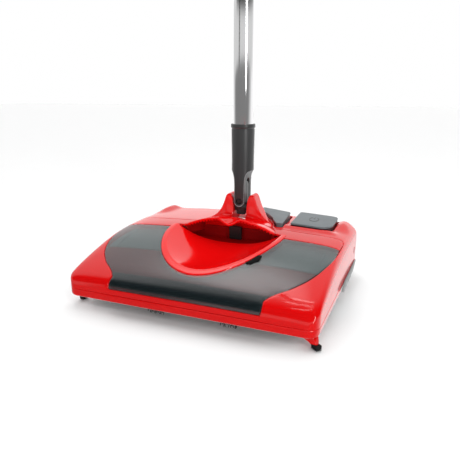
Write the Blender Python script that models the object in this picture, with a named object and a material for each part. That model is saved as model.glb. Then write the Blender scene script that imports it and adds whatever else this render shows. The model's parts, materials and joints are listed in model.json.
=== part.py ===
"""Cordless carpet sweeper: low red head with a motor-driven brush roller, two foot pedals,
a lift-out dust box under a smoked window, and a tall tube handle on a two-way joint.

Frame: +Z up, the floor at z = 0, -Y the front of the head, +X its right-hand side.
All sizes below are in millimetres, with y = 0 at the middle of the head's straight sides.
add_mesh() moves that point so that the origin is on the floor under the middle of the whole
head, and turns millimetres into metres.
"""
import math

import bmesh
import bpy
from mathutils import Matrix, Vector

MM = 0.001
GAP = 0.3                     # clearance kept between touching pieces
REAR_BULGE = 9.0              # how far the rear edge bows out at its middle
ORIGIN = Vector((0, REAR_BULGE / 2, 0))

# ---- driving dimensions -------------------------------------------------------------------
HALF_LENGTH = 120.0           # head, front to rear, half
HALF_WIDTH_FRONT = 143.0
HALF_WIDTH_REAR = 145.0
CORNER_RADIUS = 12.0          # head corners seen from above
BASE_BOTTOM = 11.5            # underside of the base tray
SEAM = 21.0                   # joint line between base tray and upper cover
SHELL = 2.4                   # wall of the upper mouldings
EDGE_POWER = 14.0             # how tightly the roof turns down into the side walls
CROWN = 0.10                  # share of the height that the roof loses towards its sides

INSERT_FRONT_Z = 27.0         # lower edge of the window on the front face
WINDOW_REAR_Y = 1.0
PANEL_LINE_Y = 33.0           # rear edge of the lift-out insert
SCOOP_HALF_WIDTH = 75.0
SCOOP_LENGTH = 106.0
SCOOP_REAR_Y = 12.0
SCOOP_POWER = 1.9

BRUSH_Y = -82.0
BRUSH_Z = 19.6
BRUSH_RADIUS = 19.0           # over the bristle tips
BRUSH_HALF_LENGTH = 116.0
CHAMBER_X = 120.5             # inner face of the brush chamber's side walls
BELT_X = -127.0
MOTOR_Y = 78.0
MOTOR_Z = 44.0
MOTOR_PULLEY_RADIUS = 5.0
BRUSH_PULLEY_RADIUS = 10.0

REAR_WHEEL_Y = 97.0
REAR_WHEEL_RADIUS = 18.0
ROLLER_Y = -38.0
ROLLER_RADIUS = 7.0

PEDAL_PIN_Y = 57.0
PEDAL_PIN_Z = 60.0
PEDAL_TOP = 76.6
PEDAL_LEVEL_X = 20.0          # the pedals' tops fall away outwards from here, as the cover does
PEDAL_FALL = 0.00035
PEDAL_RISE = 0.025            # slope of the pedals' tops towards the rear
SWITCH_TOP = 54.2             # clear of the power pedal's stem until the pedal is fully down

HANDLE_Y = 63.0               # handle axis
TILT_Z = 89.0                 # pin along X in the yoke
SWING_Z = 98.0                # pin along Y in the fork
TUBE_RADIUS = 12.7
TUBE_WALL = 0.9
COLLAR_TOP = 196.0
TUBE_JOINTS = (452.0, 742.0)  # heights of the two joiners
GRIP_BOTTOM = 975.0
HANDLE_TOP = 1128.0

# Centre line of the roof, front to rear, as (y, z).
ROOF_LINE = ((-120, 21), (-119.4, 29), (-116, 35.5), (-108, 41), (-99, 45.5), (-81, 52.5),
             (-61, 59), (-41, 64.5), (-19, 68.5), (5, 71), (33, 72), (63, 71.5), (95, 70.3),
             (110, 69), (116, 65.5), (119.3, 56), (119.8, 40), (120, 21))
# Share of the half width at which the roof's columns stand, from the middle to the side wall.
COLUMNS = (0, 0.14, 0.28, 0.42, 0.56, 0.68, 0.78, 0.86, 0.92, 0.96, 0.98, 0.992, 0.998, 1.0)
# Right-hand edge of the lift-out insert, front to rear, as (x, y).
INSERT_EDGE = ((87, -111), (88.5, -109), (92.5, -104.5), (99.5, -98.5), (108, -92), (116, -83.5),
               (124, -72.5), (131, -57), (136.5, -38), (139.5, -18), (140.5, 2), (140.5, PANEL_LINE_Y))


# ---- materials ----------------------------------------------------------------------------
MATERIALS = {
    "red_plastic": ((0.62, 0.012, 0.018, 1), 0.16, 0.0),
    "deep_red_plastic": ((0.33, 0.006, 0.01, 1), 0.35, 0.0),
    "smoked_window": ((0.06, 0.07, 0.075, 0.6), 0.12, 0.0),
    "dust_grey_plastic": ((0.25, 0.28, 0.28, 1), 0.4, 0.0),
    "charcoal_plastic": ((0.07, 0.072, 0.075, 1), 0.42, 0.0),
    "pedal_grey": ((0.23, 0.26, 0.27, 1), 0.45, 0.0),
    "black_plastic": ((0.012, 0.012, 0.013, 1), 0.4, 0.0),
    "black_bristle": ((0.01, 0.01, 0.01, 1), 0.8, 0.0),
    "black_rubber": ((0.015, 0.015, 0.016, 1), 0.75, 0.0),
    "bumper_grey": ((0.12, 0.125, 0.13, 1), 0.6, 0.0),
    "brushed_aluminium": ((0.72, 0.72, 0.73, 1), 0.32, 1.0),
    "steel": ((0.55, 0.56, 0.58, 1), 0.3, 1.0),
    "battery_blue": ((0.03, 0.12, 0.35, 1), 0.35, 0.0),
    "board_green": ((0.02, 0.18, 0.07, 1), 0.45, 0.0),
}


def material(name):
    found = bpy.data.materials.get(name)
    if found:
        return found
    colour, roughness, metallic = MATERIALS[name]
    made = bpy.data.materials.new(name)
    made.use_nodes = True
    shader = made.node_tree.nodes["Principled BSDF"]
    shader.inputs["Base Color"].default_value = colour
    shader.inputs["Roughness"].default_value = roughness
    shader.inputs["Metallic"].default_value = metallic
    shader.inputs["Alpha"].default_value = colour[3]
    made.diffuse_color = colour
    return made


# ---- making objects -----------------------------------------------------------------------
def add_mesh(name, bm, slot, origin=(0, 0, 0), smooth=35):
    """Turn a bmesh in world millimetres into an object whose origin is at the given point."""
    bmesh.ops.recalc_face_normals(bm, faces=bm.faces[:])
    bmesh.ops.translate(bm, verts=bm.verts[:], vec=-Vector(origin))
    bmesh.ops.scale(bm, verts=bm.verts[:], vec=(MM, MM, MM))
    mesh = bpy.data.meshes.new(name)
    bm.to_mesh(mesh)
    bm.free()
    mesh.materials.append(material(slot))
    mesh.shade_smooth()
    mesh.set_sharp_from_angle(angle=math.radians(smooth))
    made = bpy.data.objects.new(name, mesh)
    made.location = (Vector(origin) - ORIGIN) * MM
    bpy.context.collection.objects.link(made)
    return made


def add_cutter(name, bm):
    cutter = add_mesh(name, bm, "steel")
    cutter.hide_render = True
    cutter.display_type = "WIRE"
    return cutter


def combine(target, bm, operation, name):
    """Boolean a bmesh in world millimetres with an object."""
    cutter = add_cutter(name, bm)
    step = target.modifiers.new(name, "BOOLEAN")
    step.object = cutter
    step.operation = operation
    step.solver = "EXACT"


def cut(target, bm, name):
    combine(target, bm, "DIFFERENCE", target.name + "_cut_" + name)


def join(target, bm, name):
    combine(target, bm, "UNION", target.name + "_join_" + name)


def keep_inside(target, bm, name):
    combine(target, bm, "INTERSECT", target.name + "_keep_" + name)


def block(low, high, bm=None):
    """A box between two corners."""
    bm = bm or bmesh.new()
    low, high = Vector(low), Vector(high)
    size = high - low
    place = Matrix.Translation((low + high) / 2) @ Matrix.Diagonal((*size, 1))
    bmesh.ops.create_cube(bm, size=1, matrix=place)
    return bm


def softened(bm, width, segments=2, angle=30):
    """Bevel the edges sharper than an angle."""
    edges = [edge for edge in bm.edges if edge.calc_face_angle(0) > math.radians(angle)]
    bmesh.ops.bevel(bm, geom=edges, offset=width, segments=segments, affect="EDGES",
                    profile=0.5, clamp_overlap=True)
    return bm


def prism(outline, low, high, axis="Z"):
    """Extrude an outline; axis names the direction, and the outline gives the other two."""
    def point(a, b, t):
        return {"Z": (a, b, t), "Y": (a, t, b), "X": (t, a, b)}[axis]
    return loft([[point(a, b, t) for a, b in outline] for t in (low, high)])


def loft(sections, closed=False):
    """Join equal closed sections into a solid, capped at both ends unless it closes on itself."""
    bm = bmesh.new()
    rings = [[bm.verts.new(point) for point in section] for section in sections]
    count = len(rings[0])
    pairs = list(zip(rings, rings[1:]))
    if closed:
        pairs.append((rings[-1], rings[0]))
    else:
        bm.faces.new(rings[0])
        bm.faces.new(rings[-1])
    for near, far in pairs:
        for i in range(count):
            j = (i + 1) % count
            bm.faces.new((near[i], near[j], far[j], far[i]))
    return bm


def turned(profile, centre, axis="Z", steps=24, hollow=False):
    """Turn a profile of (radius, height) about an axis through a centre.

    A hollow profile is a closed loop clear of the axis; a solid one is capped at its ends."""
    centre = Vector(centre)
    sections = []
    if hollow:
        for k in range(steps):
            angle = 2 * math.pi * (k + 0.5) / steps
            sections.append([around(centre, axis, r, angle, t) for r, t in profile])
        return loft(sections, closed=True)
    for r, t in profile:
        sections.append([around(centre, axis, r, 2 * math.pi * (k + 0.5) / steps, t)
                         for k in range(steps)])
    return loft(sections)


def around(centre, axis, radius, angle, height):
    a, b = radius * math.cos(angle), radius * math.sin(angle)
    offset = {"Z": (a, b, height), "X": (height, a, b), "Y": (b, height, a)}[axis]
    return centre + Vector(offset)


def rod(radius, low, high, centre, axis, steps=16):
    return turned([(radius, low), (radius, high)], centre, axis, steps)


def tube(outer, inner, low, high, centre, axis="Z", steps=24):
    profile = [(inner, low), (outer, low), (outer, high), (inner, high)]
    return turned(profile, centre, axis, steps, hollow=True)


def rounded(outline, radius, steps=3):
    """Round the corners of a closed polygon with arcs; radius may be a list, one per corner."""
    result = []
    count = len(outline)
    radii = radius if isinstance(radius, (list, tuple)) else [radius] * count
    for i in range(count):
        before, here, after = (Vector(outline[k % count]) for k in (i - 1, i, i + 1))
        if radii[i] == 0:
            result.append(tuple(here))
            continue
        into, out = (before - here).normalized(), (after - here).normalized()
        half = math.acos(max(-1, min(1, into.dot(out)))) / 2
        reach = radii[i] / math.tan(half)
        start, end = here + into * reach, here + out * reach
        for k in range(steps + 1):
            t = k / steps
            point = start * (1 - t) ** 2 + here * 2 * t * (1 - t) + end * t ** 2
            result.append(tuple(point))
    return result


def grown(outline, distance):
    """An outline moved outwards, or inwards by a negative distance, keeping its corners."""
    area = sum(a[0] * b[1] - b[0] * a[1] for a, b in zip(outline, outline[1:] + outline[:1]))
    turn = math.copysign(1, area)
    result = []
    count = len(outline)
    for i in range(count):
        before, here, after = (Vector(outline[k % count]) for k in (i - 1, i, i + 1))
        first, second = (here - before).normalized(), (after - here).normalized()
        normal = Vector((first.y + second.y, -first.x - second.x)) * turn
        normal /= max(0.2, normal.length_squared / 2)
        result.append(tuple(here + normal * distance))
    return result


def mirrored(points):
    """A closed outline from its right-hand half, which runs front to rear."""
    return list(points) + [(-x, y) for x, y in reversed(points)]


def smooth_step(value, low, high):
    t = max(0.0, min(1.0, (value - low) / (high - low)))
    return t * t * (3 - 2 * t)


def along(points, value, key=0, give=1):
    """Straight-line reading of a list of points at a value of one coordinate."""
    for before, after in zip(points, points[1:]):
        if before[key] <= value <= after[key]:
            span = after[key] - before[key]
            t = (value - before[key]) / span if span else 0
            return before[give] + (after[give] - before[give]) * t
    return points[0][give] if value < points[0][key] else points[-1][give]


# ---- the head's outer form ----------------------------------------------------------------
def half_width(y):
    """Half the head's width, with its corners rounded."""
    share = (y + HALF_LENGTH) / (2 * HALF_LENGTH)
    width = HALF_WIDTH_FRONT + (HALF_WIDTH_REAR - HALF_WIDTH_FRONT) * share
    into_corner = abs(y) - (HALF_LENGTH - CORNER_RADIUS)
    if into_corner > 0:
        width -= CORNER_RADIUS - math.sqrt(max(0, CORNER_RADIUS ** 2 - into_corner ** 2))
    return width


def bulge(x, y):
    """How far the rear part of the head reaches back beyond its straight sides."""
    return REAR_BULGE * (1 - (x / HALF_WIDTH_REAR) ** 2) * smooth_step(y, 40, HALF_LENGTH)


def shoulder(x, y):
    """The two raised rear corners."""
    across = math.exp(-((abs(x) - 129) / 9) ** 2)
    return 5 * across * smooth_step(y, 60, 95) * (1 - smooth_step(y, 112, 119))


def roof_z(x, y, height=None, width=None):
    """Height of the outer skin."""
    height = along(ROOF_LINE, y) if height is None else height
    width = half_width(y) if width is None else width
    share = min(1, abs(x) / width)
    side = (1 - share ** EDGE_POWER) ** (1 / EDGE_POWER)
    return SEAM + (height - SEAM) * (1 - CROWN * share ** 2) * side + shoulder(x, y) * side


def skin_solid(inset=SHELL, rim=SEAM):
    """The cover's shell: an outer and an inner dome joined along the seam."""
    bm = bmesh.new()
    shares = [-c for c in reversed(COLUMNS[1:])] + list(COLUMNS)
    rows = []
    for depth in (0, inset):
        grid = []
        shrink = (HALF_LENGTH - depth) / HALF_LENGTH
        for y, z in ROOF_LINE:
            width = half_width(y)
            inner_width = width - depth
            line = []
            for share in shares:
                x = share * width
                top = roof_z(x, y, z, width)
                if depth:
                    top = max(rim, rim + (top - rim) - depth * min(1, (top - rim) / (2 * depth)))
                line.append(bm.verts.new((share * inner_width, (y + bulge(x, y)) * shrink, top)))
            grid.append(line)
        for a, b in zip(grid, grid[1:]):
            for i in range(len(shares) - 1):
                bm.faces.new((a[i], a[i + 1], b[i + 1], b[i]))
        rows.append(grid)
    loops = []
    for grid in rows:
        loop = grid[0][:] + [line[-1] for line in grid[1:]]
        loop += list(reversed(grid[-1][:-1])) + [line[0] for line in reversed(grid[1:-1])]
        loops.append(loop)
    for i in range(len(loops[0])):
        j = (i + 1) % len(loops[0])
        bm.faces.new((loops[0][i], loops[0][j], loops[1][j], loops[1][i]))
    return bm


def insert_outline(inset):
    """Outline of the lift-out insert, open past the front face."""
    edge = [(x - inset, y) for x, y in INSERT_EDGE]
    edge[-1] = (edge[-1][0], PANEL_LINE_Y - inset)
    return mirrored([(edge[0][0], -HALF_LENGTH - 10)] + edge)


def scoop_outline(inset, steps=22):
    """Outline of the scoop's rim: a long half oval, straight along its rear."""
    width, length = SCOOP_HALF_WIDTH - inset, SCOOP_LENGTH - inset
    points = []
    for k in range(steps + 1):
        angle = math.pi * k / steps
        c, s = math.cos(angle), math.sin(angle)
        x = math.copysign(abs(c) ** (2 / SCOOP_POWER), c) * width
        y = SCOOP_REAR_Y - s ** (2 / SCOOP_POWER) * length
        points.append((x, y))
    return points


# ---- covers and window --------------------------------------------------------------------
YOKE_EDGE = ((60, 13.4), (57, 24), (50.5, 36), (46.5, 50), (39, 66), (25, 84))
POWER_OUTLINE = rounded([(68.8, 51.5), (119.8, 51.5), (119.8, 110), (67.8, 110)], [3, 20, 8, 4])
RELEASE_OUTLINE = rounded([(52.5, 44.5), (60.5, 44.5), (56, 102), (13, 115), (13, 99), (22, 95),
                           (30, 87), (43.5, 68.5), (47.5, 58)], [1.5, 1.5, 4, 3, 3, 3, 3, 4, 4])
PEDAL_SLOT = 1.5              # clearance round a pedal in the cover
SOCKET = (-60, 40)            # charge socket on the rear face, as (x, z)
SOCKET_RADIUS = 5.5


def make_upper_cover():
    cover = add_mesh("upper_cover", skin_solid(), "red_plastic")
    cut(cover, prism(insert_outline(0), INSERT_FRONT_Z, 120), "insert")
    yoke = [(64, 5)] + [(x + 2 * GAP, y) for x, y in YOKE_EDGE] + [(25, 84.6)]
    cut(cover, prism(mirrored(yoke), 40, 120), "yoke")
    for name, outline in (("power", POWER_OUTLINE), ("release", RELEASE_OUTLINE)):
        cut(cover, prism(grown(outline, PEDAL_SLOT), 45, 120), name)
    cut(cover, rod(SOCKET_RADIUS + GAP, 100, 140, (SOCKET[0], 0, SOCKET[1]), "Y"), "socket")


def make_window():
    window = add_mesh("window_panel", skin_solid(), "smoked_window")
    outline = [(x, min(y, WINDOW_REAR_Y)) for x, y in insert_outline(GAP)
               if y < WINDOW_REAR_Y + 2]
    keep_inside(window, prism(outline, INSERT_FRONT_Z + GAP, 120), "edge")
    cut(window, prism(scoop_outline(-GAP) + [(-SCOOP_HALF_WIDTH, 20), (SCOOP_HALF_WIDTH, 20)], 20, 120),
        "scoop")


def scoop_solid(rings=9, steps=22, rim_share=0.9, floor=53.0, dip=6.0, lip=0.8, wall=2.2):
    """The scoop: a shallow dish, open at its rear, that fans out from its rear middle."""
    bm = bmesh.new()
    edge = scoop_outline(0, steps)
    layers = []
    for depth in (0, wall):
        centre = bm.verts.new((0, SCOOP_REAR_Y, floor - depth))
        rays = []
        for x, y in edge:
            ray = []
            for ring in range(1, rings + 1):
                share = ring / rings
                here = (x * share, SCOOP_REAR_Y + (y - SCOOP_REAR_Y) * share)
                inside = min(1, share / rim_share)
                rim = roof_z(x * max(share, rim_share),
                             SCOOP_REAR_Y + (y - SCOOP_REAR_Y) * max(share, rim_share)) + lip
                ahead = (SCOOP_REAR_Y - y) / SCOOP_LENGTH
                z = floor + (rim - floor) * inside ** 2.6 - dip * 4 * inside * (1 - inside) * ahead
                ray.append(bm.verts.new((*here, z - depth)))
            rays.append(ray)
        layers.append((centre, rays))
    for centre, rays in layers:
        for a, b in zip(rays, rays[1:]):
            bm.faces.new((centre, a[0], b[0]))
            for i in range(rings - 1):
                bm.faces.new((a[i], a[i + 1], b[i + 1], b[i]))
    (top, top_rays), (low, low_rays) = layers
    for (a, b), (c, d) in zip(zip(top_rays, top_rays[1:]), zip(low_rays, low_rays[1:])):
        bm.faces.new((a[-1], b[-1], d[-1], c[-1]))
    for side in (0, -1):
        above, below = [top] + top_rays[side], [low] + low_rays[side]
        for i in range(rings):
            bm.faces.new((above[i], above[i + 1], below[i + 1], below[i]))
    return bm


def make_scoop_frame():
    """The scoop and the two red wings behind the window, one moulding."""
    frame = add_mesh("scoop_frame", skin_solid(), "red_plastic")
    front, rear = WINDOW_REAR_Y + GAP, PANEL_LINE_Y - GAP
    reach = INSERT_EDGE[-1][0] - GAP
    beside_yoke = [(x + 1, y) for x, y in reversed(YOKE_EDGE) if y < rear]
    last = (along([(b, a) for a, b in YOKE_EDGE], rear) + 1, rear)
    wings = [(reach, front), (reach, rear), last] + beside_yoke + [(beside_yoke[-1][0], SCOOP_REAR_Y - 1)]
    keep_inside(frame, prism(mirrored(wings), 40, 120), "wings")
    cut(frame, prism(scoop_outline(1.2), 30, 120), "dish")
    join(frame, scoop_solid(), "scoop")


# ---- yoke ---------------------------------------------------------------------------------
ARCH_RISE = ((13.4, 14.5), (20, 13), (30, 10.5), (42, 7.5), (50, 6), (54, 2.4), (84, 1.2))


def yoke_top(share, y):
    """Height of the yoke's plate at a share of its half width."""
    edge = along([(b, a) for a, b in YOKE_EDGE], y)
    return roof_z(edge, y) + along(ARCH_RISE, y) * (1 - share ** 2)


def make_yoke():
    sections = []
    shares = [k / 7 for k in range(-7, 8)]
    for y in (13.4, 18, 24, 30, 36, 42, 45, 50, 54, 60, 66, 75, 84):
        edge = along([(b, a) for a, b in YOKE_EDGE], y)
        under = smooth_step(y, 44, 46)
        top = [(edge * s, y, yoke_top(s, y)) for s in shares]
        low = [(x, y, (z - 3) * (1 - under) + 63 * under) for x, y, z in reversed(top)]
        sections.append(top + low)
    yoke = add_mesh("handle_yoke", loft(sections), "red_plastic")
    horn = [(9.2, 68), (9.2, 94), (10.4, 100.4), (12.8, 105.2), (14.4, 106.4), (16.8, 105.4), (20, 98),
            (23, 90), (27, 83), (33, 77.5), (33, 68)]
    for name, side in (("right", 1), ("left", -1)):
        outline = [(side * x, z) for x, z in horn]
        join(yoke, softened(prism(outline, HANDLE_Y - 10, HANDLE_Y + 10, "Y"), 1.2, 2, 40), name)
    cut(yoke, rod(3.3, -21, 21, (0, HANDLE_Y, TILT_Z), "X"), "pin")


def make_grip_pocket():
    pocket = add_mesh("grip_pocket", block((-62, 13.4, 47.5), (62, 45.6, 64.2)), "deep_red_plastic")
    cut(pocket, block((-60, 10, 49.5), (60, 43.6, 80)), "hollow")
    cut(pocket, block((-4.8, 36, 52.4), (4.8, 50, 57.8)), "latch_slot")


# ---- base and what it holds ---------------------------------------------------------------
FLOOR_TOP = 14.3
WELL = (101, 121, REAR_WHEEL_Y - 21, REAR_WHEEL_Y + 20.5)
SCREW_PLACES = ((126, -100), (134, 16), (-134, 16), (-126, -100))


def base_outline(inset):
    right = []
    rows = [y for y, z in ROOF_LINE]
    for y in rows:
        x = half_width(y)
        right.append((x - inset, y))
    rear = [(HALF_WIDTH_REAR * s, HALF_LENGTH) for s in (0.7, 0.45, 0.2)]
    outline = mirrored(right + rear)
    shrink = (HALF_LENGTH - inset) / HALF_LENGTH
    return [(x, (y + bulge(x, y)) * shrink) for x, y in outline]


def make_base_tray():
    sections = []
    for z, inset in ((BASE_BOTTOM, 2.4), (BASE_BOTTOM + 2, 0.8), (SEAM - GAP, 0)):
        sections.append([(x, y, z) for x, y in base_outline(inset)])
    tray = add_mesh("base_tray", loft(sections), "red_plastic")
    cut(tray, prism(base_outline(4.5), FLOOR_TOP, 40), "inside")
    for place in SCREW_PLACES:
        join(tray, rod(4.2, FLOOR_TOP - 1, 30, (*place, 0), "Z", 12), f"boss_{len(tray.modifiers)}")
    for side in (1, -1):
        for low, high in ((98.5, 101), (121, 123.5)):
            x0, x1 = sorted((side * low, side * high))
            join(tray, block((x0, REAR_WHEEL_Y - 9, FLOOR_TOP - 1), (x1, REAR_WHEEL_Y + 9, 25)),
                 f"cheek_{len(tray.modifiers)}")
    cut(tray, block((-118, -104, 0), (118, -61, 40)), "brush_window")
    cut(tray, block((BELT_X - 4, -95, 0), (BELT_X + 3.6, -44, 40)), "belt_slot")
    for side in (1, -1):
        x0, x1 = sorted((side * WELL[0], side * WELL[1]))
        cut(tray, block((x0, WELL[2], 0), (x1, WELL[3], 40)), f"well_{side}")
        cut(tray, rod(2.8, side * 111 - 20, side * 111 + 20, (0, REAR_WHEEL_Y, REAR_WHEEL_RADIUS), "X", 12),
            f"axle_{side}")
        x0, x1 = sorted((side * 129.6, side * 137.4))
        cut(tray, block((x0, ROLLER_Y - 9, 0), (x1, ROLLER_Y + 9, 40)), f"roller_{side}")
    for place in SCREW_PLACES:
        hole = turned([(4.2, 0), (4.2, 13.4), (2, 13.4), (2, 40)], (*place, 0), "Z", 12)
        cut(tray, hole, f"screw_{len(tray.modifiers)}")


def make_screws():
    profile = [(3.7, BASE_BOTTOM + 0.3), (3.9, 12.4), (3.9, 13.1), (1.6, 13.1), (1.6, 26)]
    for number, place in enumerate(SCREW_PLACES, 1):
        add_mesh(f"base_screw_{number}", turned(profile, (*place, 0), "Z", 12), "steel")


def make_brush_hood():
    outer = [(-107, 14.6), (-107, 22), (-103, 34), (-94, 41), (-84, 44), (-72, 44.6),
             (-48.7, 44.2), (-48.7, 14.6)]
    inner = [(-104.8, 10), (-104.8, 22), (-101, 32.4), (-93, 39), (-83.5, 41.8), (-72, 42.4),
             (-40, 42), (-40, 32), (-51, 32), (-60.5, 16), (-60.5, 10)]
    hood = add_mesh("brush_hood", prism(outer, -CHAMBER_X, CHAMBER_X, "X"), "deep_red_plastic")
    cut(hood, prism(inner, -CHAMBER_X + 2.2, CHAMBER_X - 2.2, "X"), "chamber")
    cut(hood, rod(5 + GAP, -130, 130, (0, BRUSH_Y, BRUSH_Z), "X"), "bearings")


def make_brush():
    centre = (0, BRUSH_Y, BRUSH_Z)
    core = [(3, -131), (3, -BRUSH_HALF_LENGTH), (9, -BRUSH_HALF_LENGTH), (9, BRUSH_HALF_LENGTH),
            (3, BRUSH_HALF_LENGTH), (3, 122.5)]
    add_mesh("brush_core", turned(core, centre, "X", 16), "charcoal_plastic", centre)
    for number, start in enumerate((0, math.pi)):
        sections = []
        steps = 24
        for k in range(steps + 1):
            x = (2 * k / steps - 1) * (BRUSH_HALF_LENGTH - 1.5)
            angle = start + math.pi * (1 - abs(2 * k / steps - 1)) * 0.7
            out, side = (math.cos(angle), math.sin(angle)), (-math.sin(angle), math.cos(angle))
            ring = []
            for r, half in ((9.35, -1.3), (BRUSH_RADIUS, -1.5), (BRUSH_RADIUS, 1.5), (9.35, 1.3)):
                y = BRUSH_Y + out[0] * r + side[0] * half
                z = BRUSH_Z + out[1] * r + side[1] * half
                ring.append((x, y, z))
            sections.append(ring)
        add_mesh(f"bristle_row_{number + 1}", loft(sections), "black_bristle", centre)
    pulley = [(3.3, 2.8), (8, 2.8), (11.2, 2.8), (BRUSH_PULLEY_RADIUS, 2.2), (BRUSH_PULLEY_RADIUS, -2.2),
              (11.2, -2.8), (3.3, -2.8)]
    add_mesh("brush_pulley", turned(pulley, (BELT_X, BRUSH_Y, BRUSH_Z), "X", 24, hollow=True),
             "black_plastic", (BELT_X, BRUSH_Y, BRUSH_Z))
    for name, side in (("left", -1), ("right", 1)):
        low, high = sorted((side * 117.2, side * 121.2))
        add_mesh(f"brush_bearing_{name}", tube(5, 3.3, low, high, centre, "X", 16), "steel")


def make_motor():
    centre = (0, MOTOR_Y, MOTOR_Z)
    case = [(5, -100.5), (5, -98), (12, -98), (13.5, -96.5), (13.5, -54), (12, -52.5), (4, -52.5), (4, -50)]
    motor = add_mesh("motor_case", turned(case, centre, "X", 24), "steel")
    cut(motor, rod(2.0, -110, -80, centre, "X", 12), "shaft")
    r = MOTOR_PULLEY_RADIUS
    spindle = [(1.6, -82), (1.6, -123.8), (r + 1.2, -123.8), (r, -124.8), (r, -129.2), (r + 1.2, -130),
               (1.5, -130)]
    add_mesh("motor_pulley", turned(spindle, centre, "X", 20), "black_plastic", centre)
    mount = block((-92, MOTOR_Y - 12, FLOOR_TOP + GAP), (-58, MOTOR_Y + 12, MOTOR_Z - 6))
    cradle = add_mesh("motor_cradle", mount, "charcoal_plastic")
    cut(cradle, rod(13.5 + GAP, -120, -40, centre, "X", 24), "seat")


def belt_path(offset):
    """Points of a loop round both pulleys, as (y, z), at a distance from their grooves."""
    ends = ((BRUSH_Y, BRUSH_Z, BRUSH_PULLEY_RADIUS), (MOTOR_Y, MOTOR_Z, MOTOR_PULLEY_RADIUS))
    run = Vector((MOTOR_Y - BRUSH_Y, MOTOR_Z - BRUSH_Z))
    lean = math.asin((BRUSH_PULLEY_RADIUS - MOTOR_PULLEY_RADIUS) / run.length)
    heading = math.atan2(run.y, run.x)
    points = []
    for (y, z, radius), side in zip(ends, (math.pi, 0)):
        half = math.pi / 2 + (lean if side else -lean)
        for k in range(13):
            angle = heading + side - half + 2 * half * k / 12
            reach = radius + offset
            points.append((y + reach * math.cos(angle), z + reach * math.sin(angle)))
    return points


def make_belt():
    inner, outer = belt_path(0.4), belt_path(1.7)
    sections = [[(BELT_X - 1.8, *a), (BELT_X - 1.8, *b), (BELT_X + 1.8, *b), (BELT_X + 1.8, *a)]
                for a, b in zip(inner, outer)]
    add_mesh("drive_belt", loft(sections, closed=True), "black_rubber")


def make_dust_tray():
    low, high = (-118.8, -48.2, FLOOR_TOP + GAP), (118.8, 10.5, 47)
    tray = add_mesh("dust_tray", block(low, high), "dust_grey_plastic")
    cut(tray, block((-117, -46.4, 16.4), (117, 8.7, 60)), "inside")
    cut(tray, block((-117, -60, 31.5), (117, -40, 60)), "mouth")


def make_electrics():
    cells = softened(block((24, 62, FLOOR_TOP + GAP), (96, 104, 43)), 2.5, 2)
    add_mesh("battery_pack", cells, "battery_blue")
    add_mesh("circuit_board", block((-40, 92, 30), (4, 93.6, 58)), "board_green")
    switch = softened(block((100, 90, 51.3), (110, 102, SWITCH_TOP)), 0.8, 1)
    add_mesh("power_switch", switch, "black_plastic")
    x, z = SOCKET
    add_mesh("charge_socket", tube(SOCKET_RADIUS, 3.2, 112, 127.4, (x, 0, z), "Y", 20), "black_plastic")


def make_pedal_bracket():
    bracket = add_mesh("pedal_bracket", block((8, 46, 49), (123, 108, 51)), "charcoal_plastic")
    for x in (48.3, 60.5, 84, 105.5, 117.5):
        join(bracket, block((x, PEDAL_PIN_Y - 4.5, 50), (x + 3, PEDAL_PIN_Y + 4.5, 63.2)), f"cheek_{int(x)}")
    for x, y in ((9, 47), (9, 101), (116, 47), (90, 105.2)):
        join(bracket, block((x, y, FLOOR_TOP + GAP), (x + 5, y + 2.4, 50)), f"post_{x}_{y}")
    cut(bracket, rod(2.3, 0, 140, (0, PEDAL_PIN_Y, PEDAL_PIN_Z), "X", 12), "pin")


def pedal(name, outline, lugs, stems):
    """A foot pedal: a thick key that leans with the cover, with hinge lugs and stems below."""
    hinge = (sum(x for x, y in outline) / len(outline), PEDAL_PIN_Y, PEDAL_PIN_Z)

    def top(x, y, inset):
        fall = PEDAL_FALL * max(0, x - PEDAL_LEVEL_X) ** 2
        return PEDAL_TOP + PEDAL_RISE * (y - PEDAL_PIN_Y) - fall - inset

    sections = [[(x, y, 65.0) for x, y in outline]]
    for inset, drop in ((0, 1.2), (0.35, 0.35), (1.2, 0)):
        ring = grown(outline, -inset)
        sections.append([(x, y, top(x, y, drop)) for x, y in ring])
    key = add_mesh(name, loft(sections), "pedal_grey", hinge)
    for number, (low, high) in enumerate(lugs, 1):
        join(key, block((low, PEDAL_PIN_Y - 4.4, 55.6), (high, PEDAL_PIN_Y + 4.4, 66)), f"lug_{number}")
    for number, (x, y, radius, z) in enumerate(stems, 1):
        join(key, rod(radius, z, 66, (x, y, 0), "Z", 12), f"stem_{number}")
    cut(key, rod(2.3, 0, 140, (0, PEDAL_PIN_Y, PEDAL_PIN_Z), "X", 12), "pin")


def coil(x, y, low, high, radius=4.0, wire=0.6, turns=4, steps=12, sides=6):
    """A compression spring with closed ends."""
    sections = []
    total = turns * steps
    height = high - low - 2 * wire
    for k in range(total + 1):
        angle = 2 * math.pi * k / steps
        z = low + wire + height * k / total
        centre = Vector((x + radius * math.cos(angle), y + radius * math.sin(angle), z))
        out = Vector((math.cos(angle), math.sin(angle), 0))
        ring = []
        for s in range(sides):
            a = 2 * math.pi * s / sides
            ring.append(tuple(centre + out * wire * math.cos(a) + Vector((0, 0, wire * math.sin(a)))))
        sections.append(ring)
    return loft(sections)


def make_pedals():
    pedal("power_pedal", POWER_OUTLINE, ((88, 104.5),), ((78, 98, 5, 61.5), (105, 97, 3, 58)))
    pedal("release_pedal", RELEASE_OUTLINE, ((52.2, 56.6),), ((38, 98, 5, 61.5),))
    for name, x in (("power", 78), ("release", 38)):
        add_mesh(f"{name}_pedal_spring", coil(x, 98, 51.3, 61.2), "steel")
    add_mesh("pedal_pin", rod(2, 44.5, 121.5, (0, PEDAL_PIN_Y, PEDAL_PIN_Z), "X", 12), "steel")


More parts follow.
